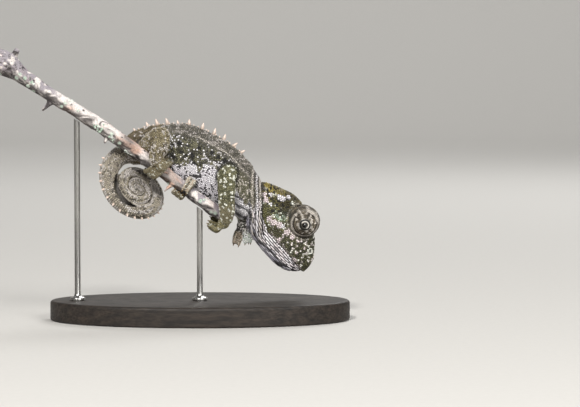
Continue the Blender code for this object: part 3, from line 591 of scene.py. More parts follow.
def spots(points, size, seed=0):
    """Distance in millimetres to the nearest of scattered centres, and that centre's own value."""
    scaled = points / size
    cell = np.floor(scaled).astype(np.int64)
    best, value = np.full(len(points), 9.0), np.zeros(len(points))
    for step in np.ndindex(3, 3, 3):
        near = cell + np.array(step) - 1
        centre = near + np.stack([lattice(near, seed + k) for k in (1, 2, 3)], axis=1)
        away = np.linalg.norm(scaled - centre, axis=1)
        value = np.where(away < best, lattice(near, seed), value)
        best = np.minimum(best, away)
    return best * size, value


def speck(points, seed=0):
    """A value from 0 to 1 for each scale, unlike its neighbours'."""
    return lattice(np.floor(points * 12), seed)


def fade(value, start, end):
    """0 at start to 1 at end, smoothly."""
    t = np.clip((value - start) / (end - start), 0, 1)
    return t * t * (3 - 2 * t)


def near(value, centre, width):
    """1 where the value is at the centre, falling to 0 over about the width."""
    return np.exp(-(((value - centre) / width) ** 2))


def mix(first, second, share):
    """The first colour with this share of the second."""
    share = np.atleast_1d(share)[:, None]
    return first * (1 - share) + second * share


def line_distance(a, b, points):
    """Distance of the plane points (a, b) from a polyline, and how far along it they are from 0 to 1."""
    best, along = np.full(len(a), 99.0), np.zeros(len(a))
    spans = len(points) - 1
    for k, ((ax, ay), (bx, by)) in enumerate(zip(points, points[1:])):
        dx, dy = bx - ax, by - ay
        t = np.clip(((a - ax) * dx + (b - ay) * dy) / (dx * dx + dy * dy), 0, 1)
        away = np.hypot(a - ax - t * dx, b - ay - t * dy)
        along = np.where(away < best, (k + t) / spans, along)
        best = np.minimum(best, away)
    return best, along


# ---- where a point is on the animal


def nearest_on(path, points):
    """For each point the index of the nearest of the path's points, and how far it is."""
    index, away = np.empty(len(points), int), np.empty(len(points))
    centres = path[:, :3]
    at_once = 20_000  # points, which keeps the tables of distances small
    for first in range(0, len(points), at_once):
        block = slice(first, first + at_once)
        squares = (points[block] ** 2).sum(axis=1)[:, None] - 2 * points[block] @ centres.T
        squares += (centres**2).sum(axis=1)
        index[block] = squares.argmin(axis=1)
        away[block] = np.sqrt(np.maximum(squares.min(axis=1), 0))
    return index, away


def tube_place(path, points):
    """Gap to a tube's surface, index of its nearest point and the angle round it."""
    index, away = nearest_on(path, points)
    along = unit(np.gradient(path[:, :3], axis=0))[index]
    side = np.array((0.0, -1.0, 0.0)) + along * along[:, 1:2]
    side /= np.maximum(np.linalg.norm(side, axis=1), 0.05)[:, None]
    out = points - path[index, :3]
    around = np.arctan2((out * np.cross(along, side)).sum(axis=1), (out * side).sum(axis=1))
    return away - path[index, 3], index, around


TURRETS = tuple(f"turret_{side}" for side in SIDES)
PARTS = ("trunk", "head", *TURRETS, "tail", *LIMBS, *HANDS, *GRIPS)


def on(found, *names):
    """Whether each point belongs to one of these parts."""
    return np.isin(found["part"], [PARTS.index(name) for name in names])


def gap_to(found, name):
    """Each point's distance from this part's surface."""
    return found["gaps"][:, PARTS.index(name)]


def on_throat(found):
    """Whether each point is below the mouth line."""
    return on(found, "head") & (found["jaw"] < LIP_EDGE)


def mouth_height(back):
    """The mouth line's height this far back from the snout."""
    return np.interp(back, [m[0] for m in MOUTH], [m[1] for m in MOUTH])


def trunk_ridge():
    """The spine's points as x and z, the way along it at each, and the trunk's sizes there."""
    stations = smooth_path(TRUNK, 12)
    return stations[:, :2], unit(np.gradient(stations[:, :2], axis=0)), stations[:, 2:]


def survey(points):
    """Where each point is: its part, the gap to every part, and places on trunk, head, tail and limbs."""
    count = len(points)
    found = {"gaps": np.full((count, len(PARTS)), 99.0), "p": np.zeros(count), "q": np.zeros(count)}
    tiles = {}

    def place(name, gap, p, q):
        found["gaps"][:, PARTS.index(name)] = gap
        tiles[name] = (p, q)

    spine, ways, sizes = trunk_ridge()
    flat = np.column_stack([spine[:, 0], np.zeros(len(spine)), spine[:, 1]])
    index, _ = nearest_on(flat, points * (1, 0, 1))
    (dx, dz), (way_x, way_z) = (points[:, ::2] - spine[index]).T, ways[index].T
    above, below, half = sizes[index].T
    height = -dx * way_z + dz * way_x
    beyond = np.abs(dx * way_x + dz * way_z)
    reach = np.where(height > 0, above, below)
    out = points[:, 1] - BODY_Y
    rise = height / reach
    narrow = 1 - 0.34 * np.maximum(rise, 0).clip(0, 1) ** 2 - 0.3 * np.maximum(-rise, 0).clip(0, 1) ** 2
    round_off = np.hypot(rise, out / (half * narrow))
    found["rise"] = rise
    place("trunk", (round_off - 1) * np.minimum(reach, half) + beyond,
          index / (len(spine) - 1), np.arctan2(out / half, rise) / (2 * math.pi) + 0.5)

    back, up, left = head_place(points)
    head = smooth_path(HEAD, 12)
    low, high, half, roof = (np.interp(back, head[:, 0], head[:, k]) for k in (1, 2, 3, 4))
    rise = (up - (low + high) / 2) / ((high - low) / 2)
    narrow = 1 - roof * rise.clip(0, 1) ** 1.5 - 0.3 * (-rise).clip(0, 1) ** 2
    round_off = np.hypot(rise, left / (half * narrow))
    beyond = np.maximum(back - HEAD[-1][0], 0) + np.maximum(HEAD[0][0] - back, 0)
    found.update(back=back, up=up, left=left, low=low, jaw=up - mouth_height(back))
    place("head", (round_off - 1) * np.minimum(half, (high - low) / 2) + beyond,
          back / 18.5, np.arctan2(left / half, rise) / (2 * math.pi) + 0.5)

    for name, side in SIDES.items():
        offset = points - turret_centre(side)
        away = np.linalg.norm(offset, axis=1)
        first, second = gaze_axes(side)
        clock = np.arctan2(offset @ second, offset @ first)
        turn = np.arccos(np.clip(offset @ gaze(side) / np.maximum(away, 0.01), -1, 1))
        found[f"turret_{name}"] = (turn, clock)
        place(f"turret_{name}", np.abs(away - TURRET_RADIUS) - TURRET_SKIN,
              0.5 + 0.3 * turn * np.cos(clock), 0.5 + 0.3 * turn * np.sin(clock))

    path = tail_path()
    gap, index, around = tube_place(path, points)
    found["turned"], found["around"] = path[index, 4], around
    place("tail", gap, (path[index, 4] + 60) / (TAIL_END + 60), around / (2 * math.pi) + 0.5)
    for name, bones in LIMBS.items():
        path = smooth_path(bones, 8)
        gap, index, around = tube_place(path, points)
        found[name] = index / (len(path) - 1)
        place(name, gap, found[name], around / (2 * math.pi) + 0.5)
    for name in (*HANDS, *GRIPS):
        palm, radius = palm_of(name)
        best = np.linalg.norm(points - palm, axis=1) - radius
        along = np.zeros(count)
        turn = np.arctan2(points[:, 2] - palm[2], points[:, 0] - palm[0])
        for number, path in enumerate(toe_paths(name)):
            gap, index, around = tube_place(path, points)
            closer = gap < best
            along = np.where(closer, index / (len(path) - 1), along)
            turn = np.where(closer, around / 6 + number, turn)
            best = np.minimum(best, gap)
        found[name] = along
        place(name, best, along, (turn + 3.2) / 9)
    found["part"] = found["gaps"].argmin(axis=1)
    for name in PARTS:
        here = on(found, name)
        found["p"][here], found["q"][here] = tiles[name][0][here], tiles[name][1][here]
    return found


# ---- markings and painted shade, the same on skin and scales


# White and pinkish patches of the head's side: back, up, radius, colour
HEAD_PATCHES = (
    (16.0, 5.1, 0.55, "pink"), (15.0, 4.6, 0.6, "pink"), (15.0, 6.0, 0.4, "white"),
    (13.8, 4.7, 0.35, "white"), (11.9, 8.1, 0.45, "white"), (12.7, 7.1, 0.5, "white"),
    (13.5, 6.8, 0.4, "white"), (10.6, 7.7, 0.35, "tubercle"), (7.5, 2.8, 0.65, "pink"),
    (6.2, 2.9, 0.55, "pink"), (7.7, 0.5, 0.5, "pink"), (12.0, 2.3, 0.55, "pink"), (10.9, 2.4, 0.6, "pink"),
    (9.7, 2.7, 0.55, "pink"), (9.0, 3.0, 0.4, "white"), (2.6, -0.2, 0.4, "pink"),
)
# Black dots of the casque and cheek: back, up, radius
HEAD_DOTS = (
    (17.1, 5.9, 0.22), (16.7, 6.1, 0.24), (15.2, 5.6, 0.33), (15.6, 6.8, 0.2), (13.8, 7.2, 0.22),
    (11.8, 6.1, 0.3), (12.7, 5.4, 0.26), (12.6, 3.9, 0.34), (13.7, 5.4, 0.2), (12.8, 6.3, 0.25),
    (14.8, 6.9, 0.22), (16.0, 6.2, 0.2), (11.6, 5.2, 0.25),
)
# Larger blotches of the flank: x, z, radius
FLANK_BLOTCHES = (
    (-4.0, 35.3, 0.5), (-5.3, 32.7, 0.4), (-1.4, 32.8, 0.55), (-1.0, 31.2, 0.45), (2.4, 33.4, 0.5),
    (5.0, 31.9, 0.55), (1.0, 29.7, 0.45), (-1.2, 29.4, 0.5), (2.0, 29.2, 0.4), (-0.1, 34.4, 0.4),
    (3.7, 32.7, 0.4), (-6.2, 30.5, 0.35), (-3.2, 27.5, 0.35), (-0.9, 27.8, 0.3), (-3.6, 33.6, 0.35),
)


def layered(paint, under, *layers):
    """Colours laid over one another, each given by its name or as it is. A layer is its colour, the share
    that it covers and, where it differs, how bright it is."""
    made = paint[under] if isinstance(under, str) else under
    for shade, share, *bright in layers:
        shade = paint[shade] if isinstance(shade, str) else shade
        made = mix(made, shade * bright[0] if bright else shade, share)
    return made


def trunk_marks(points, found, paint):
    x, z, rise = points[:, 0], points[:, 2], found["rise"]
    own, other, lump = speck(points, 3), speck(points, 4), noise(points, 1.5, 5)
    rump, front = fade(x, -5.6, -8.5), fade(x, 5.6, 7.4)
    streak = noise(points * (0.8, 1.0, 2.6) @ np.array(((0.9, 0, 0.4), (0, 1, 0), (-0.4, 0, 0.9))), 0.8, 14)
    rear = layered(paint, paint["brown"] * 0.7, ("brown", fade(own, 0.2, 0.8)),
                   ("tail_pale", fade(streak + own * 0.35, 0.68, 0.8)))
    stipple = layered(paint, paint["olive"] * 0.7,
                      ("turret_pale", fade(own + (lump - 0.5) * 0.5, 0.68, 0.8) * 0.8))
    vein = noise(points @ np.array(((0.35, 0, 0.3), (0, 1, 0), (-1.0, 0, 1.0))) * (1.4, 1.0, 1.4), 0.8, 17)
    band = layered(paint, paint["grey"] * 0.4, ("grey", fade(own, 0.1, 0.7), 0.85),
                   ("grey_pale", fade(vein + own * 0.35, 0.8, 0.92)))
    blotches, ragged = [], 0.75 + 0.5 * noise(points, 0.35, 19)
    for spot_x, spot_z, radius in FLANK_BLOTCHES:
        away = np.hypot(x - spot_x, z - spot_z)
        blotches.append(("blotch", fade(away, radius * ragged * 1.25, radius * ragged * 0.8)))
    edge = np.interp(x, (-7.0, -3.0, 0.0, 4.5, 5.5, 7.0, 10.8), (32.0, 31.2, 30.4, 31.2, 28.0, 25.6, 22.4))
    fleck = noise(points @ np.array(((0.8, 0, -0.5), (0, 1, 0), (0.35, 0, 1.1))), 0.6, 23)
    dark = np.where(other + (fleck - 0.5) * 0.9 < 0.2, 1.0, 0.0) * fade(x, 6.8, 6.2)
    # Dark lines along the chest's creases: partly the folds' own dark skin, partly painted shade in them.
    crease = near(np.mod(z + x * 0.75 + noise(points, 1.5, 25), 1.7), 0.3, 0.4) * front
    belly = layered(paint, "white", ("lilac", lump * 0.35 * (1 - front)), ("blotch", dark * 0.95),
                    ("blotch", crease * 0.9))
    line = near(rise + (noise(points, 2.5, 27) - 0.5) * 0.08, 0.7, 0.022) * fade(x, -3.0, 0.0)
    # Painted shade on the flank where the limbs meet it.
    limbs = fade(np.min([gap_to(found, name) for name in LIMBS], axis=0), 0.75, 0.3)
    return layered(
        paint, "olive_dark",
        ("olive", fade(noise(points, 0.7, 6) + own * 0.6, 0.35, 1.05)),
        ("blotch", fade(other + (noise(points, 0.9, 8) - 0.5) * 0.6, 0.8, 0.84) * 0.85),
        ("white", fade(own + (noise(points, 1.0, 9) - 0.5) * 0.6, 0.82, 0.86) * 0.85),
        (rear, rump),
        (stipple, front),
        (band, fade(rise, 0.5, 0.72) * (1 - 0.85 * rump) * 0.9),
        *blotches,
        (belly, fade(edge - z + (noise(points, 0.9, 21) - 0.5) * 3.2, -0.2, 0.4) * fade(x, -8.6, -7.0)),
        ("turret_pale", line * (0.4 + 0.5 * own)),
        ("blotch", limbs * 0.92, 0.5),
    )


def throat_rows(found):
    """Rows counted down from the mouth line to the middle of the throat."""
    depth = np.maximum(found["low"] - (found["up"] - found["jaw"]), -9.0)
    return np.clip(found["jaw"] / np.minimum(depth, -0.3), 0, 1)


def head_marks(points, found, paint):
    back, up, jaw, out = found["back"], found["up"], found["jaw"], np.abs(found["left"])
    own, lump, rows = speck(points, 31), noise(points, 1.3, 33), throat_rows(found)
    away, value = spots(points, 0.8, 35)
    snout = layered(paint, paint["snout"] * 0.35,
                    ("snout", fade(own + (lump - 0.5) * 0.4, 0.1, 0.9), 1.3),
                    (layered(paint, "tubercle", ("pink", value)), fade(away, 0.33, 0.25) * 0.95))
    mint = fade(np.hypot((back - 10.8) / 1.5, (up - 4.1) / 0.85), 1.2, 0.6)
    dusk = fade(np.hypot((back - 10.4) / 1.25, (up - 5.8) / 1.3), 1.15, 0.65)
    brown = fade(np.hypot((back - 9.3) / 1.9, (up - 1.4) / 1.0), 1.15, 0.7)
    cheek = layered(
        paint, paint["cheek"] * 0.4,
        ("cheek", fade(own, 0.05, 0.75), 1.25),
        ("tubercle", fade(speck(points, 32) + (lump - 0.5) * 0.4, 0.86, 0.9) * 0.8),
        ("mint", mint * fade(own + lump * 0.4, 0.45, 0.75)),
        ("dot", fade(speck(points, 40), 0.9, 0.92) * fade(up, 3.0, 4.5) * 0.9),
        ("cheek_dark", dusk * 0.8),
        (layered(paint, "snout", ("turret_dark", own)), brown * 0.8),
    )
    above = fade(up + back * 0.25 + (lump - 0.5), 7.9, 8.8) * fade(back, 9.0, 10.5)
    rear = fade(back * 0.8 + up + (lump - 0.5) * 2 + own, 17.6, 19.2)
    casque = layered(paint, paint["casque"] * (0.55 + 0.45 * own)[:, None], ("yellow", rear * 0.85))
    away, along = line_distance(back, up, CREST)
    dash = fade(noise(np.column_stack([along * 9, away * 0, out * 0]), 1.0, 39), 0.35, 0.5)
    patches, ragged = [], 0.8 + 0.45 * noise(points, 0.4, 41)
    for spot_back, spot_up, radius, name in HEAD_PATCHES:
        share = fade(np.hypot(back - spot_back, up - spot_up), radius * ragged * 1.15, radius * ragged * 0.85)
        patches.append((name, share * fade(out, 0.8, 1.4), (0.88 + 0.12 * own)[:, None]))
    dots = [("dot", fade(np.hypot(back - spot_back, up - spot_up), radius * 1.3, radius * 0.9))
            for spot_back, spot_up, radius in HEAD_DOTS]
    nose, beside = np.hypot(back - NOSTRIL[0], up - NOSTRIL[1]), fade(out, 0.5, 0.9)
    clear = np.min([gap_to(found, name) for name in TURRETS], axis=0) + TURRET_SKIN
    dusky = fade(noise(points, 0.9, 47) + 0.5 * near(rows, 0.64, 0.07), 0.62, 0.75)
    chin = layered(paint, "chin", ("white", fade(own, 0.6, 0.9) * 0.6), ("blotch", dusky * 0.9))
    chin_edge = fade(rows + (noise(points * (0.6, 1, 0.6), 0.8, 45) - 0.5) * 0.25, 0.58, 0.66)
    # A few throat scales are darkened with the grooves' painted shade.
    gaps = np.where(speck(points, 43) < 0.05, 0.7, 0.0)
    throat = layered(paint, "white", ("pink", own * 0.6), ("groove", gaps), (chin, chin_edge))
    return layered(
        paint, snout,
        (cheek, fade(back + (lump - 0.5), 7.4, 8.6)),
        (casque, above),
        (layered(paint, "turret", ("casque", own)), fade(up, 7.0, 8.0) * fade(out, 1.7, 1.1) * 0.8),
        (layered(paint, "tubercle", ("yellow", own * 0.5)), fade(away, 0.42, 0.2) * dash),
        ("turret_dark", above * fade(back, 13.6, 12.2) * (0.35 + 0.4 * own)),
        ("dot", above * fade(speck(points, 38), 0.76, 0.79) * 0.92),
        *patches,
        *dots,
        ("tubercle", fade(nose, 0.66, 0.5) * beside),
        # The nostril's pit is painted black, as painted shade.
        ("dot", fade(nose, 0.3, 0.22) * beside),
        ("turret_pale", near(clear, 0.5, 0.12) * fade(up - back * 0.6, 3.4, 2.0) * 0.75),
        # Painted shade round each turret, where it meets the head.
        ("groove", fade(clear, 0.3, 0.12) * 0.9),
        (throat, fade(jaw, LIP_EDGE, -0.1)),
        (layered(paint, "pink", ("snout", own)), near(jaw, 0.22, 0.2) * (back < MOUTH_END) * 0.55),
        # Painted shade along the mouth line.
        ("groove", near(jaw, 0.0, 0.09) * (back < MOUTH_END) * 0.9),
    )


def neck_place(points):
    """How far forwards each point of the neck is, for folds that waver."""
    return points[:, 0] - 0.35 * (noise(points, 3.0, 51) - 0.5)


def neck_marks(points, paint, made):
    """Pale lines down the side of the neck, and dark lines that are painted shade in its grooves."""
    x, inside = neck_place(points), fade(points[:, 2], 15.5, 17.5) * fade(points[:, 2], 30.5, 29.0)
    lines = [(name, near(x, place, width) * inside * 0.85) for place, name, width in NECK_LINES]
    return layered(paint, made, *lines)


# Pale patches of the eye turret: degrees from the snout upwards, distance from the pupil, radius
TURRET_PATCHES = (
    (223, 1.36, 0.26), (253, 1.3, 0.25), (328, 1.36, 0.24), (18, 1.42, 0.24), (63, 1.38, 0.26),
    (80, 1.75, 0.2), (48, 2.2, 0.18), (6, 1.98, 0.24), (340, 2.2, 0.2), (193, 2.05, 0.2), (178, 2.6, 0.22),
    (300, 1.9, 0.16),
)
# Pale streaks of the turret, each through points given as degrees and distance
TURRET_STREAKS = (
    ((155, 1.2), (147, 1.9), (158, 2.9)), ((100, 1.3), (96, 2.1), (104, 2.8)), ((126, 2.2), (116, 3.0)),
    ((55, 2.6), (85, 2.75), (115, 2.7)), ((40, 2.95), (80, 3.05), (125, 3.1)),
)


def turret_marks(points, turn, clock, paint):
    """Patches, streaks and rings of an eye turret; turn is the angle from the gaze."""
    out = TURRET_RADIUS * np.sin(np.minimum(turn, math.pi / 2)) + np.maximum(turn - math.pi / 2, 0) * 2
    a, b = out * np.cos(clock), out * np.sin(clock)
    lump = noise(points, 0.9, 63)
    made = layered(paint, "turret_dark", ("turret", fade(lump + speck(points, 61) * 0.6, 0.4, 1.0)))
    made = made * (0.85 + 0.3 * np.sin(out * 2 * math.pi / 0.42 + lump * 3))[:, None]
    layers = []
    for degrees, away, radius in TURRET_PATCHES:
        angle = math.radians(degrees)
        gap = np.hypot(a - away * math.cos(angle), b - away * math.sin(angle))
        layers.append(("turret_pale", fade(gap, radius * 1.5, radius)))
    for streak in TURRET_STREAKS:
        line = [(r * math.cos(math.radians(t)), r * math.sin(math.radians(t))) for t, r in streak]
        gap, _ = line_distance(a, b, line)
        layers.append(("turret_pale", fade(gap, 0.25, 0.12) * 0.8))
    low = fade(np.sin(clock - 0.3), 0.45, -0.1)
    return layered(paint, made, *layers, ("turret_dark", near(out, 2.42, 0.1) * (0.25 + 0.75 * low), 0.6),
                   ("turret_pale", near(out, 2.72, 0.14) * (0.25 + 0.65 * low)),
                   ("dot", near(out, 3.02, 0.13) * (0.35 + 0.6 * low)))


def tail_marks(points, found, paint):
    """Khaki with ragged pale patches and lines that run along the tail."""
    own, lump = speck(points, 71), noise(points, 1.4, 73)
    turned, around = found["turned"], found["around"]
    swirl = noise(np.column_stack([turned / 45, around * 2.0, np.zeros(len(points))]), 1.0, 75)
    flank = fade(np.abs(np.cos(around)), 0.1, 0.7)
    pale = fade(swirl * 0.8 + own * 0.25 + lump * 0.35, 0.56, 0.74) * (0.4 + 0.6 * flank)
    line = noise(np.column_stack([turned / 60, around * 2.6, around * 0]), 1.0, 76)
    return layered(
        paint, "tail_dark",
        ("tail", fade(lump + own * 0.6, 0.2, 0.9)),
        ("tail_pale", np.maximum(pale, 0.25 * flank) * 0.9),
        ("tail_dark", fade(np.abs(line - 0.5), 0.06, 0.02) * 0.7, 0.45),
        ("blotch", fade(speck(points, 77), 0.9, 0.93) * 0.7),
    )


def arm_marks(points, along, paint):
    stretch, pitch, seed = ARM_SPOTS
    away, value = spots(points * stretch, pitch, seed)
    return layered(paint, "arm_dark", ("arm", fade(speck(points, 81), 0.0, 0.8)),
                   ("khaki", fade(along, 0.5, 0.75) * 0.65),
                   ("tubercle", fade(away, 0.33, 0.27) * (0.8 + 0.2 * value)))


def leg_marks(points, along, paint):
    own, lump = speck(points, 91), noise(points, 1.2, 93)
    streak = noise(points * (1.6, 1.0, 0.7), 0.8, 94)
    stretch, pitch, seed = LEG_SPOTS
    away, value = spots(points * stretch, pitch, seed)
    return layered(
        paint, "khaki_dark",
        ("khaki", fade(lump + own * 0.7, 0.25, 0.95)),
        ("tail_pale", fade(streak + own * 0.4, 0.8, 0.92) * 0.7),
        ("brown", fade(speck(points, 96), 0.88, 0.92) * 0.8, 0.5),
        ("tail_pale", fade(away, 0.27, 0.2) * (value > 0.3) * 0.75),
        ("brown", near(along, 0.0, 0.25) * 0.5),
    )


def foot_marks(points, name, along, paint):
    own = speck(points, 101)
    made = layered(paint, "toe_dark", ("khaki", 0.3 + 0.6 * own))
    if name == "foot_left":
        # Painted light and shade on the left foot: the toes over the top of the twig are paler, and the
        # clefts between toes are darkened.
        cleft_shade = near(np.mod(points[:, 0] * 0.82 - points[:, 2] * 0.57 + 0.3, 1.1), 0.5, 0.2)
        toes = layered(paint, "toe", ("tubercle", fade(own, 0.6, 0.9)), ("toe_dark", cleft_shade, 0.4))
        made = layered(paint, made, (toes, fade(points[:, 2], 25.3, 26.3) * 0.9))
    if name == "hand_right":
        made = layered(paint, made, (layered(paint, "arm", ("yellow", own * 0.5)), 0.6))
    if name == "hand_left":
        pale = layered(paint, "mint", ("white", own))
        inner = layered(paint, paint["toe_dark"] * 0.6, ("toe", fade(own + along * 0.5, 0.5, 1.0)))
        outer = layered(paint, paint["hand"] * 0.8, (pale, fade(own + along * 0.9, 0.5, 0.9)))
        toes = layered(paint, inner, (outer, fade(points[:, 0], 8.2, 8.6)))
        made = layered(paint, paint["hand"] * 0.5, ("tail_pale", fade(own, 0.66, 0.78)),
                       (toes, fade(along, 0.25, 0.45)))
    return layered(paint, made, ("tubercle", fade(speck(points, 103), 0.82, 0.9) * 0.6))


def markings_and_painted_light(points, found, paint):
    """Linear colour of the animal at each point, markings with some painted shade, softly joined where two
    parts meet.
    """
    gaps = found["gaps"]
    share = np.exp(-(gaps - gaps.min(axis=1)[:, None]) / 0.12)
    total, made = share.sum(axis=1), np.zeros((len(points), 3))
    for number, name in enumerate(PARTS):
        here = share[:, number] > 0.01
        if not here.any():
            continue
        part = points[here]
        local = {k: (v[here] if isinstance(v, np.ndarray) else v) for k, v in found.items()}
        if name == "trunk":
            shade = trunk_marks(part, local, paint)
        elif name == "head":
            shade = head_marks(part, local, paint)
        elif name.startswith("turret"):
            turn, side_turn = found[name]
            shade = turret_marks(part, turn[here], side_turn[here], paint)
        elif name == "tail":
            shade = tail_marks(part, local, paint)
        elif name.startswith("arm"):
            shade = arm_marks(part, local[name], paint)
        elif name.startswith("leg"):
            shade = leg_marks(part, local[name], paint)
        else:
            shade = foot_marks(part, name, local[name], paint)
        if name in ("trunk", "head"):
            shade = neck_marks(part, paint, shade)
        made[here] += shade * share[here, number : number + 1]
    return made / total[:, None]


# ---- meshes, nodes and pieces


def paint_of(group):
    """The colours of a group, by name."""
    values = {key: getattr(group, key) for key in group.__annotations__}
    return {key: np.array(value) for key, value in values.items() if hasattr(value, "__len__")}


def new_mesh(name, vertices, faces, tones=None):
    """A smooth mesh in metres from vertices in millimetres; faces all have the same number of corners."""
    vertices, faces = np.asarray(vertices, np.float32) * MM, np.asarray(faces, np.int32)
    mesh = bpy.data.meshes.new(name)
    mesh.vertices.add(len(vertices))
    mesh.vertices.foreach_set("co", vertices.ravel())
    mesh.loops.add(faces.size)
    mesh.loops.foreach_set("vertex_index", faces.ravel())
    mesh.polygons.add(len(faces))
    mesh.polygons.foreach_set("loop_start", np.arange(0, faces.size, faces.shape[1], dtype=np.int32))
    mesh.update(calc_edges=True)
    mesh.shade_smooth()
    if tones is not None:
        colour_layer(mesh, tones)
    return mesh


def colour_layer(mesh, tones):
    """The markings with their painted shade and highlights, as one linear colour for each vertex."""
    layer = mesh.color_attributes.new("markings_and_painted_light", "FLOAT_COLOR", "POINT")
    full = np.column_stack([np.clip(tones, 0, 1), np.ones(len(tones))]).astype(np.float32)
    layer.data.foreach_set("color", full.ravel())


def sharp_mesh(name, rings, degrees):
    """A closed skin over rings, smooth but for the edges sharper than this."""
    vertices, faces = loft(rings)
    mesh = bpy.data.meshes.new(name)
    mesh.from_pydata((vertices * MM).tolist(), [], faces)
    mesh.shade_smooth()
    mesh.set_sharp_from_angle(angle=math.radians(degrees))
    return mesh


def bake_map(mesh, corners):
    """The UV map named OFBake; corners holds one u, v per vertex."""
    layer = mesh.uv_layers.new(name="OFBake")
    index = np.empty(len(mesh.loops), np.int32)
    mesh.loops.foreach_get("vertex_index", index)
    layer.data.foreach_set("uv", corners[index].astype(np.float32).ravel())


def piece(name, mesh, material, replaces=()):
    """Adds a piece that rides with the model, with its material, and hides the parts that it replaces."""
    if len(mesh.loops) - 2 * len(mesh.polygons) > TRIANGLE_LIMIT:
        raise RuntimeError(f"{name} has more than {TRIANGLE_LIMIT} triangles; use a larger step or spacing")
    made = bpy.data.objects.new(name, mesh)
    bpy.context.scene.collection.objects.link(made)
    made.data.materials.append(material)
    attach(made, "root")
    if replaces:
        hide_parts(*replaces)
    return made


def node(tree, kind, inputs=(), stops=(), **settings):
    """Adds a node with its settings. Its inputs are given by name or number, as values or as other nodes'
    sockets; stops are the two ends of a colour ramp, each a position and a linear colour or grey."""
    made = tree.nodes.new(kind)
    for name, value in settings.items():
        setattr(made, name, value)
    for number, (position, shade) in enumerate(stops):
        element = made.color_ramp.elements[number]
        element.position, element.color = position, (*np.broadcast_to(shade, 3), 1.0)
    for socket, value in dict(inputs).items():
        if isinstance(value, bpy.types.NodeSocket):
            tree.links.new(value, made.inputs[socket])
        else:
            made.inputs[socket].default_value = value
    return made


def new_material(name, grains, layers, gloss=None, relief=None, painted=True, **values):
    """A material whose colour, gloss and relief follow patterns of real sizes.

    grains: each pattern's size in millimetres, detail (0 makes cells) and stretch, in the object's own space.
    layers: colours multiplied together, each the number of its grain and two stops of a ramp. A painted
    material starts from the mesh's own markings, with their painted shade and highlights.
    gloss: the same for the roughness. relief: a grain, its height in millimetres and its strength.
    values: what is the same all over, set on the shader's own sockets.
    """
    material = bpy.data.materials.new(name)
    material.use_nodes = True
    tree = material.node_tree
    shader = tree.nodes["Principled BSDF"]
    for socket, value in values.items():
        shader.inputs[socket.replace("_", " ").title().replace("Ior", "IOR")].default_value = value
    place = node(tree, "ShaderNodeTexCoord").outputs["Object"]
    waves = []
    for size, detail, stretch in grains:
        place_there = node(tree, "ShaderNodeMapping", {"Vector": place, "Scale": stretch}).outputs[0]
        inputs = {"Vector": place_there, "Scale": 1 / (size * MM), "Detail": detail}
        kind, output = ("Noise", "Fac") if detail else ("Voronoi", "Distance")
        waves.append(node(tree, "ShaderNodeTex" + kind, inputs).outputs[output])
    shade = node(tree, "ShaderNodeVertexColor", layer_name="markings_and_painted_light").outputs["Color"] if painted else None
    for grain, *stops in layers:
        layer = node(tree, "ShaderNodeValToRGB", {"Fac": waves[grain]}, stops).outputs["Color"]
        if shade is not None:
            layer = node(tree, "ShaderNodeMix", {"Factor": 1.0, 6: shade, 7: layer}, data_type="RGBA",
                         blend_type="MULTIPLY").outputs[2]
        shade = layer
    tree.links.new(shade, shader.inputs["Base Color"])
    if gloss:
        worn = node(tree, "ShaderNodeValToRGB", {"Fac": waves[gloss[0]]}, gloss[1:])
        tree.links.new(worn.outputs["Color"], shader.inputs["Roughness"])
    if relief:
        grain, depth, strength = relief
        raised = node(tree, "ShaderNodeBump", {"Height": waves[grain], "Distance": depth * MM,
                                               "Strength": strength})
        tree.links.new(raised.outputs["Normal"], shader.inputs["Normal"])
    return material


# ---- materials


def scale_material():
    """Keratin of living scales: dry and satin, with fine mottling of colour and gloss; the scales' darker
    feet and paler tops are painted shade and highlight.
    """
    # The real relief is far finer; it is drawn at 0.06 mm so that it shows.
    return new_material("scale_keratin", ((0.14, 3.0, EVEN), (0.06, 2.0, EVEN)),
                        ((0, (0.25, 0.72), (0.75, 1.0)),), (0, (0.3, 0.4), (0.7, 0.62)), (1, 0.008, 0.5),
                        ior=1.5)


def skin_material():
    """Bare skin between the scales: finely granular and dull, darker between its granules and darker than the
    scales, both as painted shade.
    """
    return new_material("granular_skin", ((0.16, 0, EVEN),), ((0, (0.1, 1.0), (0.7, 0.55)),),
                        relief=(0, -0.03, 0.8), roughness=0.75, ior=1.45)


def spine_material():
    """Horn of the spines: smooth and slightly waxy, with lines that run up to the tip."""
    return new_material("spine_horn", ((0.12, 2.0, (1.0, 1.0, 0.25)),), ((0, (0.3, 0.78), (0.7, 1.0)),),
                        (0, (0.3, 0.34), (0.7, 0.5)), (0, 0.02, 0.5), ior=1.54)


def claw_material(claw):
    """Horn of the claws: darker, worn glossy at the tips."""
    return new_material("claw_horn", ((0.2, 2.0, EVEN),), ((0, (0.35, claw * 0.35), (0.7, claw)),),
                        relief=(0, 0.01, 0.4), painted=False, roughness=0.3, ior=1.54)


def eye_material():
    """Wet cornea over a black pupil and a thin brown iris."""
    return new_material("wet_eye", ((0.05, 2.0, EVEN),), ((0, (0.3, 0.6), (0.7, 1.0)),),
                        roughness=0.08, ior=1.38, coat_weight=1.0, coat_roughness=0.03)


def bark_material():
    """Weathered thin bark: chalky where it is bleached, rough, split along the grain."""
    return new_material("weathered_bark", ((0.22, 5.0, EVEN),), ((0, (0.3, 0.62), (0.62, 1.0)),),
                        (0, (0.3, 0.95), (0.7, 0.75)), (0, 0.06, 0.8), ior=1.4)


def lichen_material():
    """Crust lichen: powdery and matt."""
    return new_material("crust_lichen", ((0.12, 4.0, EVEN),), ((0, (0.3, 0.7), (0.65, 1.0)),),
                        relief=(0, 0.05, 0.9), roughness=0.95, ior=1.35)


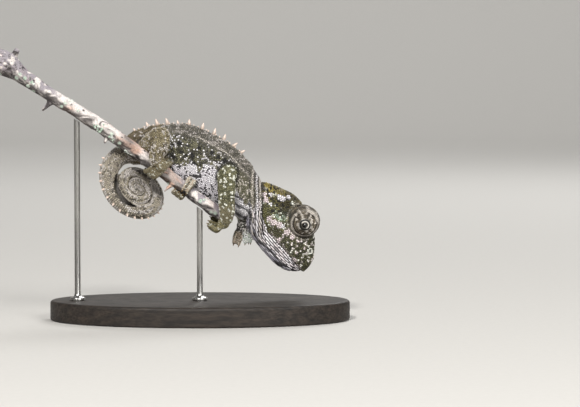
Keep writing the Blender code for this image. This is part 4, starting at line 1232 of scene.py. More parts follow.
def wood_material(looks):
    """Ebonised beech, turned, sanded and oiled: a dull sheen, with short pale flecks along the grain."""
    paint = paint_of(looks)
    tones = (0, (0.3, paint["wood"]), (0.72, paint["wood_pale"]))
    return new_material("ebonised_beech", ((0.9, 6.0, (0.08, 1.0, 1.0)), (0.35, 3.0, (0.16, 1.0, 1.0))),
                        (tones, (1, (0.35, 0.55), (0.6, 1.0))), (1, (0.3, 0.66), (0.7, 0.5)), (1, 0.03, 0.35),
                        painted=False, ior=1.45)


def steel_material(looks):
    """Stainless steel rod, brushed along its length: a soft streak of light up each rod."""
    # Real brush lines are finer; they are drawn at 0.1 mm so that they show.
    steel = np.array(looks.steel)
    return new_material("brushed_stainless_steel", ((0.1, 3.0, (1.0, 1.0, 0.03)),),
                        ((0, (0.3, steel * 0.8), (0.7, steel)),), (0, (0.3, 0.36), (0.7, 0.22)),
                        (0, 0.004, 0.4), painted=False, metallic=1.0)


def paper_material(looks):
    """Matt backdrop paper with a faint tooth."""
    # Real paper's tooth is finer; it is drawn at 1.2 mm so that it shows.
    pale = np.array(looks.floor)
    return new_material("backdrop_paper", ((1.2, 3.0, EVEN),), ((0, (0.3, pale * 0.97), (0.7, pale)),),
                        relief=(0, 0.02, 0.2), painted=False, roughness=0.9)


# ---- the flesh


class Surface:
    """A mesh held as arrays, with a quick way onto it."""

    def __init__(self, points, faces, normals):
        self.points, self.faces, self.normals = points, faces, normals
        self.tree = BVHTree.FromPolygons(points.tolist(), faces.tolist())

    def land(self, points):
        """The nearest points on the surface and its smooth normals there."""
        hits = [self.tree.find_nearest(p) for p in points.tolist()]
        places = np.array([hit[0] for hit in hits])
        normals = self.normals[self.faces[[hit[2] for hit in hits]]].mean(axis=1)
        return places, unit(normals)


def one_body(shells, step, smoothing):
    """Overlapping closed shells made one smooth skin of square faces, as arrays in millimetres."""
    vertices, faces, first = [], [], 0
    for shell_vertices, shell_faces in shells:
        vertices.append(shell_vertices)
        faces += [tuple(v + first for v in face) for face in shell_faces]
        first += len(shell_vertices)
    mesh = bpy.data.meshes.new("shells")
    mesh.from_pydata(np.vstack(vertices).tolist(), [], faces)
    cage = bmesh.new()
    cage.from_mesh(mesh)
    bmesh.ops.recalc_face_normals(cage, faces=cage.faces)
    cage.to_mesh(mesh)
    cage.free()
    lump = bpy.data.objects.new("shells", mesh)
    bpy.context.scene.collection.objects.link(lump)
    remesh = lump.modifiers.new("one body", "REMESH")
    remesh.mode = "VOXEL"
    remesh.voxel_size = step
    smooth = lump.modifiers.new("soft joins", "SMOOTH")
    smooth.factor, smooth.iterations = 0.5, smoothing
    made = bpy.data.meshes.new_from_object(lump.evaluated_get(bpy.context.evaluated_depsgraph_get()))
    bpy.data.objects.remove(lump, do_unlink=True)
    return mesh_arrays(made)


def mesh_arrays(mesh):
    points = np.empty(len(mesh.vertices) * 3, np.float32)
    normals = points.copy()
    mesh.vertices.foreach_get("co", points)
    mesh.vertices.foreach_get("normal", normals)
    faces = np.empty(len(mesh.loops), np.int32)
    mesh.loops.foreach_get("vertex_index", faces)
    return points.reshape(-1, 3).astype(float), faces.reshape(-1, 4), normals.reshape(-1, 3).astype(float)


def flesh_shells():
    shells = [loft(trunk_rings()), loft(head_rings()), tube(tail_path()[:, :4], 28)]
    shells += [ball(turret_centre(side), TURRET_RADIUS, 64) for side in SIDES.values()]
    shells += [tube(smooth_path(bones, 8), 28) for bones in LIMBS.values()]
    for name in (*HANDS, *GRIPS):
        shells.append(ball(*palm_of(name)))
        shells += [tube(path, 18) for path in toe_paths(name)]
    return shells


def sculpted(points, found):
    """How far the skin stands out of the smooth body at each point: folds, crests, lips and pits."""
    x, z = points[:, 0], points[:, 2]
    back, up, jaw, out = found["back"], found["up"], found["jaw"], np.abs(found["left"])
    trunk, head = on(found, "trunk"), on(found, "head")
    away, _ = line_distance(back, up, CREST)
    nostril = np.hypot(back - NOSTRIL[0], up - NOSTRIL[1])
    rise = 0.34 * near(away, 0, 0.42) * fade(out, 0.9, 1.6) * fade(back, 7.9, 8.8)
    rise += 0.16 * near(up - 0.62 * back, 3.0, 0.4) * fade(back, 1.0, 2.0) * fade(back, 5.6, 4.4)
    rise -= 0.32 * near(np.hypot(back - 10.6, (up - 5.2) * 0.8), 0, 1.5) * fade(out, 1.5, 2.5)
    rise += 0.16 * near(jaw, 0.38, 0.24) * (back < MOUTH_END)
    rise -= 0.3 * near(jaw, 0.0, 0.13) * fade(back, MOUTH_END + 1, MOUTH_END - 1)
    rise -= 0.3 * near(nostril, 0, 0.22) * fade(out, 0.6, 1.1)
    rise += 0.14 * near(nostril, 0.42, 0.16) * fade(out, 0.6, 1.1)
    made = np.where(head, rise, 0.0)
    for name in TURRETS:
        turn, _ = found[name]
        folds = 0.05 * np.sin(turn * TURRET_RADIUS * 2 * math.pi / 0.52) * fade(turn, 0.35, 0.55)
        made = np.where(on(found, name), folds - 0.42 * fade(turn, 0.42, 0.25), made)
        socket = near(np.abs(gap_to(found, name) + TURRET_SKIN), 0.0, 0.3)
        made -= np.where(head, 0.3 * socket, 0.0)
    neck = fade(z, 16.0, 17.5) * fade(z, 28.5, 26.8)
    across = neck_place(points)
    for place, depth in ((9.9, 0.1), (10.9, 0.25), (11.64, 0.14), (12.35, 0.36)):
        made -= np.where(trunk | head, depth * near(across, place, 0.19) * neck, 0.0)
    fold = np.sin((x * 0.9 - z * 0.35) * 2 * math.pi / 2.1 + 2 * noise(points, 2.5, 111))
    made += np.where(trunk, 0.05 * fold + 0.16 * (noise(points, 1.3, 113) - 0.5), 0.0)
    crease = near(np.mod(z + x * 0.85 + noise(points, 1.5, 25), 1.9), 0.3, 0.16)
    made -= np.where(trunk, 0.16 * crease * fade(x, 6.4, 7.4) * fade(found["rise"], 0.0, -0.3), 0.0)
    for names, height, seed in ((LIMBS, 0.14, 115), (("tail",), 0.1, 117)):
        made += np.where(on(found, *names), height * (noise(points, 0.9, seed) - 0.5), 0.0)
    return made


@functools.lru_cache
def flesh(step, depth):
    """The skin's surface with the tail unwound: under the scales, folded and creased."""
    points, faces, normals = one_body(flesh_shells(), step, 6)
    found = survey(points)
    shaped = points + normals * (sculpted(points, found) - depth)[:, None]
    mesh = new_mesh("flesh", shaped, faces)
    shaped, faces, normals = mesh_arrays(mesh)
    bpy.data.meshes.remove(mesh)
    return Surface(shaped / MM, faces, normals)


def wound(points, turned):
    """Points with the tail wound up again; turned is the degrees of coil at each."""
    made = np.array(points, float)
    made[:, 1] += unwound(turned)
    return made


def tail_turn(found):
    """Degrees of coil for points of the tail, zero elsewhere."""
    return np.where(on(found, "tail"), found["turned"], 0.0)


# ---- scales


def neighbours(points, queries, count):
    """The nearest of the points to each query, other than itself: index and distance."""
    tree = KDTree(len(points))
    for number, point in enumerate(points.tolist()):
        tree.insert(point, number)
    tree.balance()
    rows = [tree.find_n(q, count + 1)[1:] for q in queries.tolist()]
    return tuple(np.array([[r[k] for r in row] for row in rows]) for k in (1, 2))


def scale_spacing(points, found, sizes):
    """Distance between scales at each point, in millimetres."""
    spacing = np.full(len(points), sizes.limb_scale / MM)
    for names, size in ((("trunk",), sizes.trunk_scale), (("head",), sizes.head_scale),
                        ((*HANDS, *GRIPS), sizes.toe_scale)):
        spacing = np.where(on(found, *names), size / MM, spacing)
    spacing = np.where(on(found, "head") & (found["back"] < 4.0), spacing * 0.82, spacing)
    return np.where(on(found, "trunk") & (found["rise"] < -0.35), spacing * 0.9, spacing)


def in_rows(found):
    """Whether scales stand in rows at each point: throat, turrets and coiled tail."""
    throat = on_throat(found) & (found["back"] < THROAT_END)
    return throat | on(found, *TURRETS) | (on(found, "tail") & (found["turned"] > COIL_START))


def scattered_roots(surface, found, sizes, random):
    """Roots of the scales that follow no row, at even spacing for each part of the body."""
    a, b, c, d = (surface.points[surface.faces[:, k]] for k in range(4))
    halves = [np.linalg.norm(np.cross(near - a, far - a), axis=1) for near, far in ((b, c), (c, d))]
    first = surface.faces[:, 0]
    spacing = scale_spacing(surface.points, found, sizes)[first]
    wanted = 0.5 * (halves[0] + halves[1]) / (HEX_CELL * spacing**2) * ~in_rows(found)[first]
    count = int(wanted.sum())
    places = (np.arange(count) + random.random(count)) * wanted.sum() / count
    chosen = np.minimum(np.searchsorted(np.cumsum(wanted), places), len(wanted) - 1)
    p, q = random.random((2, count, 1))
    a, b, c, d = (corner[chosen] for corner in (a, b, c, d))
    return a * (1 - p) * (1 - q) + b * p * (1 - q) + c * p * q + d * (1 - p) * q


def throat_roots(sizes):
    """Rows of long scales from the chin along the jaw to the neck, both sides."""
    stations = smooth_path(HEAD, 24)
    stations = stations[(stations[:, 0] > 0.3) & (stations[:, 0] < THROAT_END)]
    points, ways = [], []
    rows = round(THROAT_ARC / (sizes.throat_row / MM))
    for side in (-1, 1):
        for row in range(rows):
            share, line = (row + 0.5) / rows, []
            for station in stations:
                _, low, high, _, _ = station
                rise = (mouth_height(station[0]) - (low + high) / 2) / ((high - low) / 2)
                start = math.acos(max(-0.98, min(0.98, rise)))
                line.append(head_ring_point(station, side * (start + (math.pi - start) * share)))
            line = np.array(line)
            run = run_along(line)
            for at in np.arange(THROAT_PITCH * (0.4 + 0.5 * (row % 2)), run[-1], THROAT_PITCH):
                if row % 2 and at < 2.2:
                    continue  # every other row starts further back, where the chin is wide enough
                here, there = (path_point(line, run, d) for d in (at, at + 0.1))
                points.append(here)
                ways.append(there - here)
    return np.array(points), np.array(ways)


def clock_places(count, row):
    """Angles of a ring's scales, half a step on in every other ring."""
    return [2 * math.pi * (k + 0.5 * (row % 2)) / count for k in range(count)]


def turret_roots():
    """Rings of fine granules round each eye's lids."""
    points, ways = [], []
    for side in SIDES.values():
        first, second = gaze_axes(side)
        way, centre = gaze(side), turret_centre(side)
        for number, turn in enumerate(np.arange(0.44, 1.75, 0.27 / TURRET_RADIUS)):
            count = max(8, round(2 * math.pi * TURRET_RADIUS * math.sin(turn) / 0.3))
            for clock in clock_places(count, number):
                across = first * math.cos(clock) + second * math.sin(clock)
                points.append(centre + TURRET_RADIUS * (way * math.cos(turn) + across * math.sin(turn)))
                ways.append(second * math.cos(clock) - first * math.sin(clock))
    return np.array(points), np.array(ways)


def tail_roots(sizes):
    """Whorls of scales round the tail, from where it leaves the body to its tip."""
    path = tail_path()
    run = run_along(path)
    points, ways = [], []
    at, whorl = np.interp(COIL_START, path[:, 4], run), 0
    while at < run[-1] + path[-1, 3] * 0.7:
        here, there = (path_point(path, run, min(at, run[-1]) - d) for d in (0.0, 0.2))
        along = unit(here[:3] - there[:3])
        first = unit(np.cross(along, (0.0, 1.0, 0.0)))
        second = np.cross(along, first)
        pitch = sizes.limb_scale / MM * (0.55 + 0.45 * min(1.0, here[3] / 1.2))
        past = max(at - run[-1], 0)
        radius = math.sqrt(max(here[3] ** 2 - past**2, 0.01))
        for clock in clock_places(max(6, round(2 * math.pi * here[3] / pitch)), whorl):
            across = first * math.cos(clock) + second * math.sin(clock)
            points.append(here[:3] + along * past + across * radius)
            ways.append(along)
        at += pitch * 0.95
        whorl += 1
    return np.array(points), np.array(ways)


def settled(points, spacing, fixed, surface, rounds):
    """Scattered roots pushed apart over the surface until they are evenly spaced."""
    for _ in range(rounds):
        everyone = np.vstack([points, fixed])
        index, away = neighbours(everyone, points, 7)
        push = np.maximum(1 - away / (spacing[:, None] * 1.15), 0)
        way = points[:, None] - everyone[index]
        way /= np.maximum(away, 1e-4)[:, :, None]
        points = points + (way * push[:, :, None]).sum(axis=1) * spacing[:, None] * 0.28
        points, _ = surface.land(points)
    return points


def tangent_frames(normals, ways):
    """Two directions on the surface at each point, the first as near as it can be to the way given."""
    first = ways - normals * (ways * normals).sum(axis=1)[:, None]
    weak = np.linalg.norm(first, axis=1) < 1e-6
    first[weak] = np.cross(normals[weak], (0.3, 1.0, 0.2))
    first = unit(first)
    return first, np.cross(normals, first)


@functools.lru_cache
def planted(step, depth, rounds):
    """Every scale's root: place, normal, directions along and across it, stretch, spacing and survey."""
    sizes = bpy.context.scene.coat_sizes
    random = np.random.default_rng(7)
    surface = flesh(step, depth)
    sets = (throat_roots(sizes), turret_roots(), tail_roots(sizes))
    rows, row_ways = (np.vstack([made[k] for made in sets]) for k in (0, 1))
    stretch = np.repeat((THROAT_STRETCH, 1.15, 1.05), [len(made[0]) for made in sets])
    over = survey(rows)
    keep = np.linalg.norm(surface.land(rows)[0] - rows, axis=1) < 0.55  # others run inside another part
    keep &= in_rows(over) | on(over, "head")
    rows, _ = surface.land(rows[keep])
    points = scattered_roots(surface, survey(surface.points), sizes, random)
    spacing = scale_spacing(points, survey(points), sizes)
    points = settled(points, spacing, rows, surface, rounds)
    place, normal = surface.land(np.vstack([points, rows]))
    found = survey(place)
    loose_ways = np.tile(np.array((1.0, 0.2, -0.4)), (len(points), 1))
    first, second = tangent_frames(normal, np.vstack([loose_ways, row_ways[keep]]))
    return {"place": place, "normal": normal, "first": first, "second": second, "found": found,
            "stretch": np.concatenate([np.ones(len(points)), stretch[keep]]),
            "spacing": scale_spacing(place, found, sizes)}


def scale_shape(roots):
    """Weight against the neighbours and height of each scale, in millimetres."""
    place, found = roots["place"], roots["found"]
    back, head = found["back"], on(found, "head")
    size = 0.9 + 0.2 * speck(place, 121)
    height = np.full(len(place), 0.14)
    big = on(found, "trunk") & (speck(place, 123) > 0.93)
    snout = head & (back < 8) & (found["jaw"] > 0)
    legs = on(found, "leg_right", "leg_left")
    for here, (stretch, pitch, seed), reach in ((on(found, "arm_right", "arm_left"), ARM_SPOTS, 0.3),
                                                (snout, ((1, 1, 1), 0.86, 35), 0.26),
                                                (legs, LEG_SPOTS, 0.25)):
        big |= here & (spots(place * stretch, pitch, seed)[0] < reach)
    size, height = np.where(big, 1.45, size), np.where(big, 0.22, height)
    crest = head & (line_distance(back, found["up"], CREST)[0] < 0.4) & (back > 8.5)
    crest |= head & (back > 9) & (np.abs(found["left"]) < 1.0) & (found["up"] > 6)
    size, height = np.where(crest, 1.3, size), np.where(crest, 0.26, height)
    toes = on(found, *HANDS, *GRIPS)
    for here, low in ((on(found, *TURRETS), 0.055), (on_throat(found), 0.13), (toes, 0.1)):
        height = np.where(here, low, height)
    return size, height


def scale_outlines(roots, size, sides):
    """Distance from each root to the edge of its cell in a number of directions, in its own frame."""
    place, first, second = roots["place"], roots["first"], roots["second"]
    index, _ = neighbours(place, place, 11)
    way = place[index] - place[:, None]
    facing = (roots["normal"][index] * roots["normal"][:, None]).sum(axis=2) > 0.2
    x = (way * first[:, None]).sum(axis=2) / roots["stretch"][:, None]
    y = (way * second[:, None]).sum(axis=2)
    share = size[:, None] / (size[:, None] + size[index])
    reach = np.hypot(x, y) * share
    clock = np.arctan2(y, x)
    turns = np.linspace(0, 2 * math.pi, sides, endpoint=False) + 0.2
    limit = np.ones((1, sides)) * (roots["spacing"] * 0.62 * np.maximum(size, 1.0))[:, None]
    for k, turn in enumerate(turns):
        lean = np.cos(turn - clock)
        edge = np.where((lean > 0.12) & facing, reach / np.maximum(lean, 0.12), 99.0)
        limit[:, k] = np.minimum(limit[:, k], edge.min(axis=1))
    return turns, limit


# Rings of a scale from its sunk edge to its top: share of the outline, share of the height
SCALE_RINGS = ((0.97, -0.35), (0.86, 0.5), (0.5, 0.92))

TILES = {  # each part's tile of the bake map: left, bottom, width, height
    "trunk": (0.01, 0.51, 0.48, 0.48),
    "head": (0.51, 0.51, 0.48, 0.48),
    "tail": (0.01, 0.3, 0.98, 0.19),
    "turret_right": (0.01, 0.02, 0.13, 0.13),
    "turret_left": (0.15, 0.02, 0.13, 0.13),
    "arm_right": (0.01, 0.16, 0.13, 0.13),
    "arm_left": (0.15, 0.16, 0.13, 0.13),
    "leg_right": (0.3, 0.16, 0.13, 0.13),
    "leg_left": (0.44, 0.16, 0.13, 0.13),
    "hand_right": (0.58, 0.16, 0.13, 0.13),
    "hand_left": (0.72, 0.16, 0.13, 0.13),
    "foot_right": (0.3, 0.02, 0.13, 0.13),
    "foot_left": (0.44, 0.02, 0.13, 0.13),
}


def unwrapped(found):
    """Each root's place on an unwrap of the skin, one tile for each part of the body."""
    tiles = np.array([TILES[name] for name in PARTS])[found["part"]]
    p, q = np.clip(found["p"], 0, 1), np.clip(found["q"], 0, 1)
    return np.column_stack([tiles[:, 0] + tiles[:, 2] * p, tiles[:, 1] + tiles[:, 3] * q])


def scale_mesh(name, roots, chosen, height, turns, outline, shades):
    """The chosen scales as one mesh of low domes."""
    place, first, second, normal, stretch = (
        roots[key][chosen] for key in ("place", "first", "second", "normal", "stretch"))
    found = {key: roots["found"][key][chosen] for key in ("part", "turned", "p", "q")}
    edge, tall, shade, root_uv = outline[chosen], height[chosen], shades[chosen][:, None], unwrapped(found)
    count, sides = edge.shape
    long = stretch > 2.0  # the throat's scales: end to end in their rows, with open grooves between the rows
    x = np.cos(turns) * edge * (stretch * np.where(long, 1.04, 1.0))[:, None]
    y = np.sin(turns) * edge * np.where(long, 0.8, 1.0)[:, None]
    # Painted shade and highlight: each scale's sunk foot ring is darkened, far more on the throat's long
    # scales, and its upper ring and top are brightened.
    foot = np.where(long, 0.15, 0.45)[:, None, None]
    circle = np.stack([np.cos(turns), np.sin(turns)], axis=1)
    rings, patches, tones = [], [], []
    for (share, lift), tone in zip(SCALE_RINGS, (foot, 0.88, 1.08)):
        rings.append(
            place[:, None]
            + (x * share * 0.95)[:, :, None] * first[:, None]
            + (y * share * 0.95)[:, :, None] * second[:, None]
            + (tall * lift)[:, None, None] * normal[:, None]
        )
        patches.append(root_uv[:, None] + PATCH * share * circle)
        tones.append(np.repeat(shade * tone, sides, 1))
    rings.append((place + normal * tall[:, None])[:, None])
    patches.append(root_uv[:, None])
    tones.append(shade * 1.12)
    vertices, uv, colours = (np.concatenate(group, axis=1) for group in (rings, patches, tones))
    per = vertices.shape[1]
    levels = ring_faces(len(SCALE_RINGS), sides).reshape(-1, sides, 4)
    top, k = (len(SCALE_RINGS) - 1) * sides, np.arange(sides)
    fan = np.stack([top + k, top + (k + 1) % sides, np.full(sides, per - 1)], 1)
    pattern = np.vstack([*(quads[:, half] for quads in levels for half in ((0, 1, 2), (0, 2, 3))), fan])
    faces = (pattern[None] + (np.arange(count) * per)[:, None, None]).reshape(-1, 3)
    flat = wound(vertices.reshape(-1, 3), np.repeat(tail_turn(found), per))
    mesh = new_mesh(name, flat, faces, colours.reshape(-1, 3))
    bake_map(mesh, uv.reshape(-1, 2))
    return mesh


def scale_groups(roots):
    """Which roots belong to each piece of the coat."""
    found, right = roots["found"], roots["place"][:, 1] < BODY_Y
    throat, trunk = on_throat(found), on(found, "trunk")
    return {
        "scales_head": on(found, "head") & ~throat,
        "scales_throat": throat,
        "scales_turrets": on(found, *TURRETS),
        "scales_flank_right": trunk & right,
        "scales_flank_left": trunk & ~right,
        "scales_tail": on(found, "tail"),
        "scales_arms": on(found, "arm_right", "arm_left", *HANDS),
        "scales_legs": on(found, "leg_right", "leg_left", *GRIPS),
    }


# ---- spines, claws and eyes


def cones(specs, sides, levels, colours):
    """Curved cones joined in one list of arrays; each spec is foot, direction, bend, height, radius."""
    foot_tone, tip_tone = colours
    per, last = levels * sides + 1, (levels - 1) * sides
    pattern = halved(ring_faces(levels, sides)).tolist()
    pattern += [(last + k, last + (k + 1) % sides, per - 1) for k in range(sides)]
    pattern += [((k + 1) % sides, k, 0) for k in range(1, sides - 1)]
    vertices, tones = [], []
    for foot, way, bend, height, radius in specs:
        way = unit(way)
        first = unit(np.cross(way, (0.1, 1.0, 0.0)))
        second = np.cross(way, first)
        for level in np.linspace(0, 1, levels):
            centre = foot + way * height * level + bend * height * level**2
            wide = radius * ((1 - level) ** 0.65 * 0.92 + 0.08)
            vertices += ring_round(centre, first, second, wide, sides).tolist()
            tones += [foot_tone + (tip_tone - foot_tone) * min(1.0, level * 1.6)] * sides
        vertices.append((foot + way * height * 1.02 + bend * height).tolist())
        tones.append(tip_tone)
    starts = np.arange(len(specs)) * per
    return np.array(vertices), (np.array(pattern) + starts[:, None, None]).reshape(-1, 3), np.array(tones)


def cone_patches(root_uv, sides, levels):
    """A small patch of the unwrap for each cone, at the place of its foot."""
    turns = np.arange(sides) * 2 * math.pi / sides
    ring = np.stack([np.cos(turns), np.sin(turns)], axis=1)
    patch = [ring * PATCH * (1 - 0.9 * level) for level in np.linspace(0, 1, levels)]
    return (root_uv[:, None] + np.vstack([*patch, np.zeros((1, 2))])).reshape(-1, 2)


def back_frame(x):
    """The ridge of the back above this x: its point, the way out of the back and the way to the rear."""
    spine, along, sizes = trunk_ridge()
    tops = spine + np.stack([-along[:, 1], along[:, 0]], axis=1) * sizes[:, :1]
    close = min(max(int(np.argmin(abs(tops[:, 0] - x))), 1), len(tops) - 2)
    dx, dz = tops[close + 1] - tops[close - 1]
    out = np.array((-dz, 0.0, dx)) / math.hypot(dx, dz)
    return np.array((tops[close, 0], BODY_Y, tops[close, 1])), out, np.array((-out[2], 0.0, out[0]))


def back_spines(sizes):
    """The spaced spines of the back, with small ones between."""
    tall, wide = sizes.spine_height / MM + 0.4, sizes.spine_radius / MM
    # each spine: x, lean to the rear, height and radius
    rows = [(x, 0.16 if x < 5.0 else -0.25, tall * size, wide * (0.4 + 0.6 * size)) for x, size in SPINES]
    rows += [(x + (after - x) * between, 0.1, 0.52, 0.24)
             for (x, _), (after, _) in zip(SPINES, SPINES[1:]) for between in (0.33, 0.66)]
    specs = []
    for x, lean, height, radius in rows:
        ridge, out, rear = back_frame(x)
        specs.append((ridge - out * 0.3, out, rear * lean, height, radius))
    return specs


def tail_spine_specs():
    """Small teeth along the tail's outer edge."""
    specs = []
    for turned in np.arange(-4.0 + TAIL_SPINE_STEP / 2, 330.0, TAIL_SPINE_STEP):
        x, y, z, radius = coil_point(turned)
        before, after = (np.array(coil_point(turned + d)[:3]) for d in (-2, 2))
        along = unit(after - before)
        out = unit(np.cross(coil_axis(), along))
        size = min(1.0, radius / COIL_THICK[0] + 0.1) * (0.8 if turned > 220 else 1.0)
        specs.append((np.array((x, y, z)) + out * radius * 0.86, out, along * 0.25, 0.85 * size, 0.34 * size))
    return specs


def claw_specs():
    """A claw at the end of every toe, curved like the toe."""
    specs = []
    for name in (*HANDS, *GRIPS):
        for path in toe_paths(name):
            tip, before, earlier = path[-1, :3], path[-3, :3], path[-5, :3]
            way = unit(tip - before)
            curl = tip - 2 * before + earlier
            curl = unit(curl) if np.linalg.norm(curl) > 1e-3 else np.array((-0.5, 0.0, -0.3))
            specs.append((tip + way * path[-1, 3] * 0.62, way, curl * 0.3, 0.4, 0.14))
    return specs


def turned_shape(profile, centre, way, first, second, segments):
    """A surface of revolution about way from (radius, height) points, as arrays of triangles."""
    rings = [ring_round(centre + way * height, first, second, radius, segments) for radius, height in profile]
    return np.vstack(rings), halved(ring_faces(len(profile), segments))


def eyeball_mesh(name, side, looks):
    """The eye behind its lids: pupil, a thin iris and the clear bulge over them."""
    way, axes = gaze(side), gaze_axes(side)
    turns, segments = np.linspace(0.03, math.pi - 0.03, 30), 48
    profile = [(PUPIL_RADIUS * math.sin(t), PUPIL_RADIUS * math.cos(t)) for t in turns]
    centre = turret_centre(side) + way * (TURRET_RADIUS - 0.45)
    vertices, faces = turned_shape(profile, centre, way, *axes, segments)
    tone = np.repeat(fade(np.sin(turns) * PUPIL_RADIUS, 0.5, 0.54), segments)
    return new_mesh(name, vertices, faces[:, ::-1] if side > 0 else faces,
                    mix(np.array(looks.pupil), np.array(looks.iris), tone))


# Profile of the lids' rim from inside the opening outwards: radius, height over the turret, tone 0 to 1
LID_PROFILE = (
    (0.5, -0.3, 0.0), (0.54, -0.12, 0.15), (0.61, 0.03, 0.9), (0.72, 0.07, 1.0), (0.82, 0.03, 0.85),
    (0.88, -0.03, 0.0), (1.03, -0.05, 0.0), (1.12, -0.02, 0.0), (1.2, 0.01, 0.8), (1.3, -0.02, 0.6),
    (1.42, -0.12, 0.4), (1.5, -0.24, 0.3),
)
LID_PATCHES = (223, 253, 328, 18, 63, 150)  # where the outer rim is pale, in degrees from the snout upwards


def lid_mesh(name, side, looks, paint):
    """The raised rim of the fused lids, with small folds that run out from it."""
    way, (first, second) = gaze(side), gaze_axes(side)
    profile, segments, lid = smooth_path(LID_PROFILE, 4), 96, np.array(looks.lid)
    clock = np.linspace(0, 2 * math.pi, segments, endpoint=False)
    rim_and_highlight_share = fade(np.cos(clock - math.radians(262)), 0.55, 0.0)  # the pale rims break off below: partly the lids' own pale rim, partly a painted highlight on their upper side
    patch = np.maximum.reduce([near(np.cos(clock - math.radians(t)), 1.0, 0.045) for t in LID_PATCHES])
    rings, tones = [], []
    for radius, height, tone in profile:
        fold = 0.016 * np.sin(clock * 22) * fade(np.array([radius]), 0.45, 0.7)
        centre = turret_centre(side) + way * (math.sqrt(TURRET_RADIUS**2 - radius**2) + height - 0.04)
        rings.append(ring_round(centre, first, second, radius, segments) + way * fold[:, None])
        if radius > 1.15:
            under, share = paint["turret"] * 0.35, tone * np.maximum(patch, 0.12 * rim_and_highlight_share)
        else:
            under, share = paint["dot"], tone * (0.06 + 0.94 * rim_and_highlight_share)
        tones.append(mix(under, lid, share) * (0.9 + 0.1 * np.sin(clock * 11 + 1))[:, None])
    faces = ring_faces(len(profile), segments)
    return new_mesh(name, np.vstack(rings), faces[:, ::-1] if side < 0 else faces, np.vstack(tones))


# ---- operators


class ANIMAL_OT_skin(bpy.types.Operator):
    """Build the skin that lies under the scales"""

    bl_idname = "animal.skin"
    bl_label = "Skin"

    def execute(self, context):
        sizes, paint = context.scene.coat_sizes, paint_of(context.scene.coat_colours)
        surface = flesh(sizes.skin_step / MM, sizes.coat_depth / MM)
        found = survey(surface.points)
        grooved = on_throat(found) & (found["back"] < THROAT_END)
        # The skin shows only in the gaps between scales; its colour is darkened there as painted shade, most
        # in the throat's grooves.
        tones = markings_and_painted_light(surface.points, found, paint) * np.where(grooved, 0.1, 0.42)[:, None]
        mesh = new_mesh("skin", wound(surface.points, tail_turn(found)), surface.faces, tones)
        piece("skin", mesh, skin_material(), FLESH_NODES)
        return {"FINISHED"}


class ANIMAL_OT_scales(bpy.types.Operator):
    """Cover the skin with scales, in one piece for each part of the body"""

    bl_idname = "animal.scales"
    bl_label = "Scales"

    def execute(self, context):
        sizes, paint = context.scene.coat_sizes, paint_of(context.scene.coat_colours)
        roots = planted(sizes.skin_step / MM, sizes.coat_depth / MM, sizes.rounds)
        size, height = scale_shape(roots)
        turns, outline = scale_outlines(roots, size, sizes.scale_sides)
        shades = markings_and_painted_light(roots["place"], roots["found"], paint)
        shades = shades * (0.78 + 0.44 * speck(roots["place"], 131))[:, None]
        material = scale_material()
        for name, chosen in scale_groups(roots).items():
            mesh = scale_mesh(name, roots, chosen, height, turns, outline, shades)
            piece(name, mesh, material)
        return {"FINISHED"}


class ANIMAL_OT_spines(bpy.types.Operator):
    """Set the spines along the back and the tail"""

    bl_idname = "animal.spines"
    bl_label = "Spines"

    def execute(self, context):
        paint, material = paint_of(context.scene.coat_colours), spine_material()
        sides, levels = 12, 9
        for name, specs in (("spines_back", back_spines(context.scene.coat_sizes)),
                            ("spines_tail", tail_spine_specs())):
            mesh = new_mesh(name, *cones(specs, sides, levels, (paint["spine_foot"], paint["spine"])))
            feet = np.array([spec[0] for spec in specs])
            bake_map(mesh, cone_patches(unwrapped(survey(feet)), sides, levels))
            piece(name, mesh, material)
        return {"FINISHED"}


class ANIMAL_OT_claws(bpy.types.Operator):
    """Set a claw at the end of every toe"""

    bl_idname = "animal.claws"
    bl_label = "Claws"

    def execute(self, context):
        claw = np.array(context.scene.coat_colours.claw)
        vertices, faces, _ = cones(claw_specs(), 10, 7, (claw, claw))
        piece("claws", new_mesh("claws", vertices, faces), claw_material(claw))
        return {"FINISHED"}


class ANIMAL_OT_eyes(bpy.types.Operator):
    """Build both eyes and the rims of their lids"""

    bl_idname = "animal.eyes"
    bl_label = "Eyes"

    def execute(self, context):
        looks, paint = context.scene.eye_looks, paint_of(context.scene.coat_colours)
        wet, lids = eye_material(), scale_material()
        lids.name = "lid_skin"
        for side, sign in SIDES.items():
            piece(f"eye_{side}", eyeball_mesh(f"eye_{side}", sign, looks), wet, [f"eyeball_{side}"])
            piece(f"lids_{side}", lid_mesh(f"lids_{side}", sign, looks, paint), lids)
        return {"FINISHED"}


